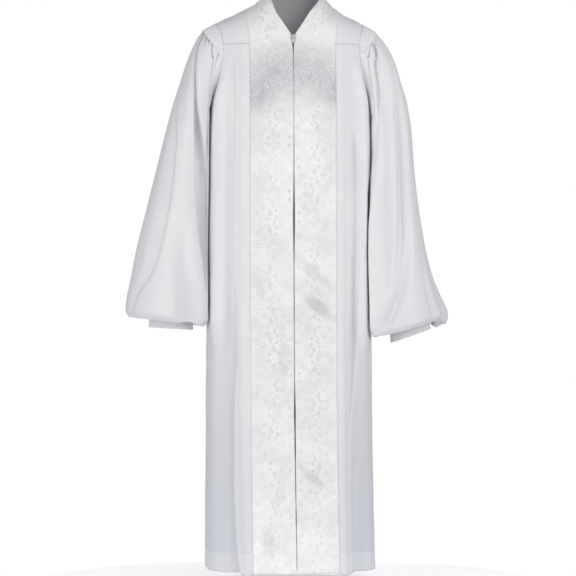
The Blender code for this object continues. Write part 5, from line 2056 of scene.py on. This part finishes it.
@dataclass(frozen=True)
class Studio:
    """Camera at the photograph's place, pale floor, soft light from the front."""

    yaw: float = 5.5
    away: float = 8.0
    level: float = -0.6432
    photo_height: float = 1.3824
    sensor: float = 36.0
    shift: float = -1.0 / 576.0
    floor_z: float = -1.345
    floor_radius: float = 0.60
    floor_glow: float = 0.26
    floor_sides: int = 96
    lamp_colour: str = "#fffdf8"
    sky_colour: str = "#f2f5fc"
    sky_strength: float = 0.42

    def build(self) -> None:
        """Set up the camera, lights, sky and floor."""
        scene = bpy.context.scene
        turn = math.radians(self.yaw)
        spot = Vector((-math.sin(turn) * self.away, -math.cos(turn) * self.away, self.level))
        lens = bpy.data.cameras.new("camera")
        lens.sensor_width = self.sensor
        lens.lens = self.sensor * self.away / self.photo_height
        lens.shift_x = self.shift
        camera = bpy.data.objects.new("camera", lens)
        camera.location = spot
        camera.rotation_euler = (0.5 * math.pi, 0.0, -turn)
        scene.collection.objects.link(camera)
        scene.camera = camera
        scene.view_settings.view_transform = "Standard"
        for lamp in LAMPS:
            self.light(lamp)
        self.sky(scene)
        self.floor()

    def light(self, lamp: Lamp) -> None:
        """Set up a soft light, aimed at its point.

        Args:
            lamp: The light.
        """
        panel = bpy.data.lights.new(lamp.name, "AREA")
        panel.size = lamp.size
        panel.energy = lamp.power
        panel.color = tone(self.lamp_colour)[:3]
        thing = bpy.data.objects.new(lamp.name, panel)
        thing.location = lamp.spot
        thing.rotation_euler = (Vector(lamp.aim) - Vector(lamp.spot)).to_track_quat("-Z", "Y").to_euler()
        bpy.context.scene.collection.objects.link(thing)

    def sky(self, scene: bpy.types.Scene) -> None:
        """White background for the camera and a slightly cool, weaker light on the robe.

        Args:
            scene: The scene.
        """
        world = bpy.data.worlds.new("studio")
        world.use_nodes = True
        scene.world = world
        nodes, links = world.node_tree.nodes, world.node_tree.links
        nodes.clear()
        path = nodes.new("ShaderNodeLightPath")
        seen, lit = nodes.new("ShaderNodeBackground"), nodes.new("ShaderNodeBackground")
        seen.inputs["Color"].default_value = (1.0, 1.0, 1.0, 1.0)
        lit.inputs["Color"].default_value = tone(self.sky_colour)
        lit.inputs["Strength"].default_value = self.sky_strength
        mixed, out = nodes.new("ShaderNodeMixShader"), nodes.new("ShaderNodeOutputWorld")
        links.new(path.outputs["Is Camera Ray"], mixed.inputs[0])
        links.new(lit.outputs[0], mixed.inputs[1])
        links.new(seen.outputs[0], mixed.inputs[2])
        links.new(mixed.outputs[0], out.inputs[0])

    def floor(self) -> None:
        """Pale round floor under the robe, faintly lit from within as a studio's light table is."""
        shape = bmesh.new()
        bmesh.ops.create_circle(shape, cap_ends=True, segments=self.floor_sides, radius=self.floor_radius)
        bmesh.ops.translate(shape, vec=(0.0, 0.0, self.floor_z), verts=shape.verts)
        mesh = bpy.data.meshes.new("floor")
        shape.to_mesh(mesh)
        shape.free()
        graph = Graph(FLOOR)
        graph.shader.inputs["Emission Color"].default_value = tone(FLOOR.colour)
        graph.shader.inputs["Emission Strength"].default_value = self.floor_glow
        mesh.materials.append(graph.material)
        thing = bpy.data.objects.new("floor", mesh)
        bpy.context.scene.collection.objects.link(thing)


def main() -> None:
    """Build the pieces in order, log their names and set up the studio."""
    logging.basicConfig(level=logging.INFO, format="%(name)s: %(message)s")
    crepe, brocade = cloth_finish(CREPE), brocade_finish(SATIN)
    tape, metal, chain = cloth_finish(TAPE_GREYED_AS_PAINTED_SHADE), metal_finish(CHROME), metal_finish(DULL_CHAIN_AND_PAINTED_SHADE)
    fronts, yokes, brocades, back, sleeves = Fronts(), Yokes(), Brocades(), Back(), Sleeves()
    closure, trims = Zip(), Trims()
    fronts.build(crepe)
    yokes.build(crepe)
    brocades.build(brocade)
    back.build(crepe)
    sleeves.build(crepe)
    closure.build(tape, metal, chain, frame["nodes"])
    trims.build(crepe)
    for part in (fronts, yokes, brocades, back, sleeves, closure, trims):
        for piece in part.pieces:
            LOG.info("%s: %s", type(part).__name__, piece.name)
    Studio().build()


if __name__ == "__main__":
    main()
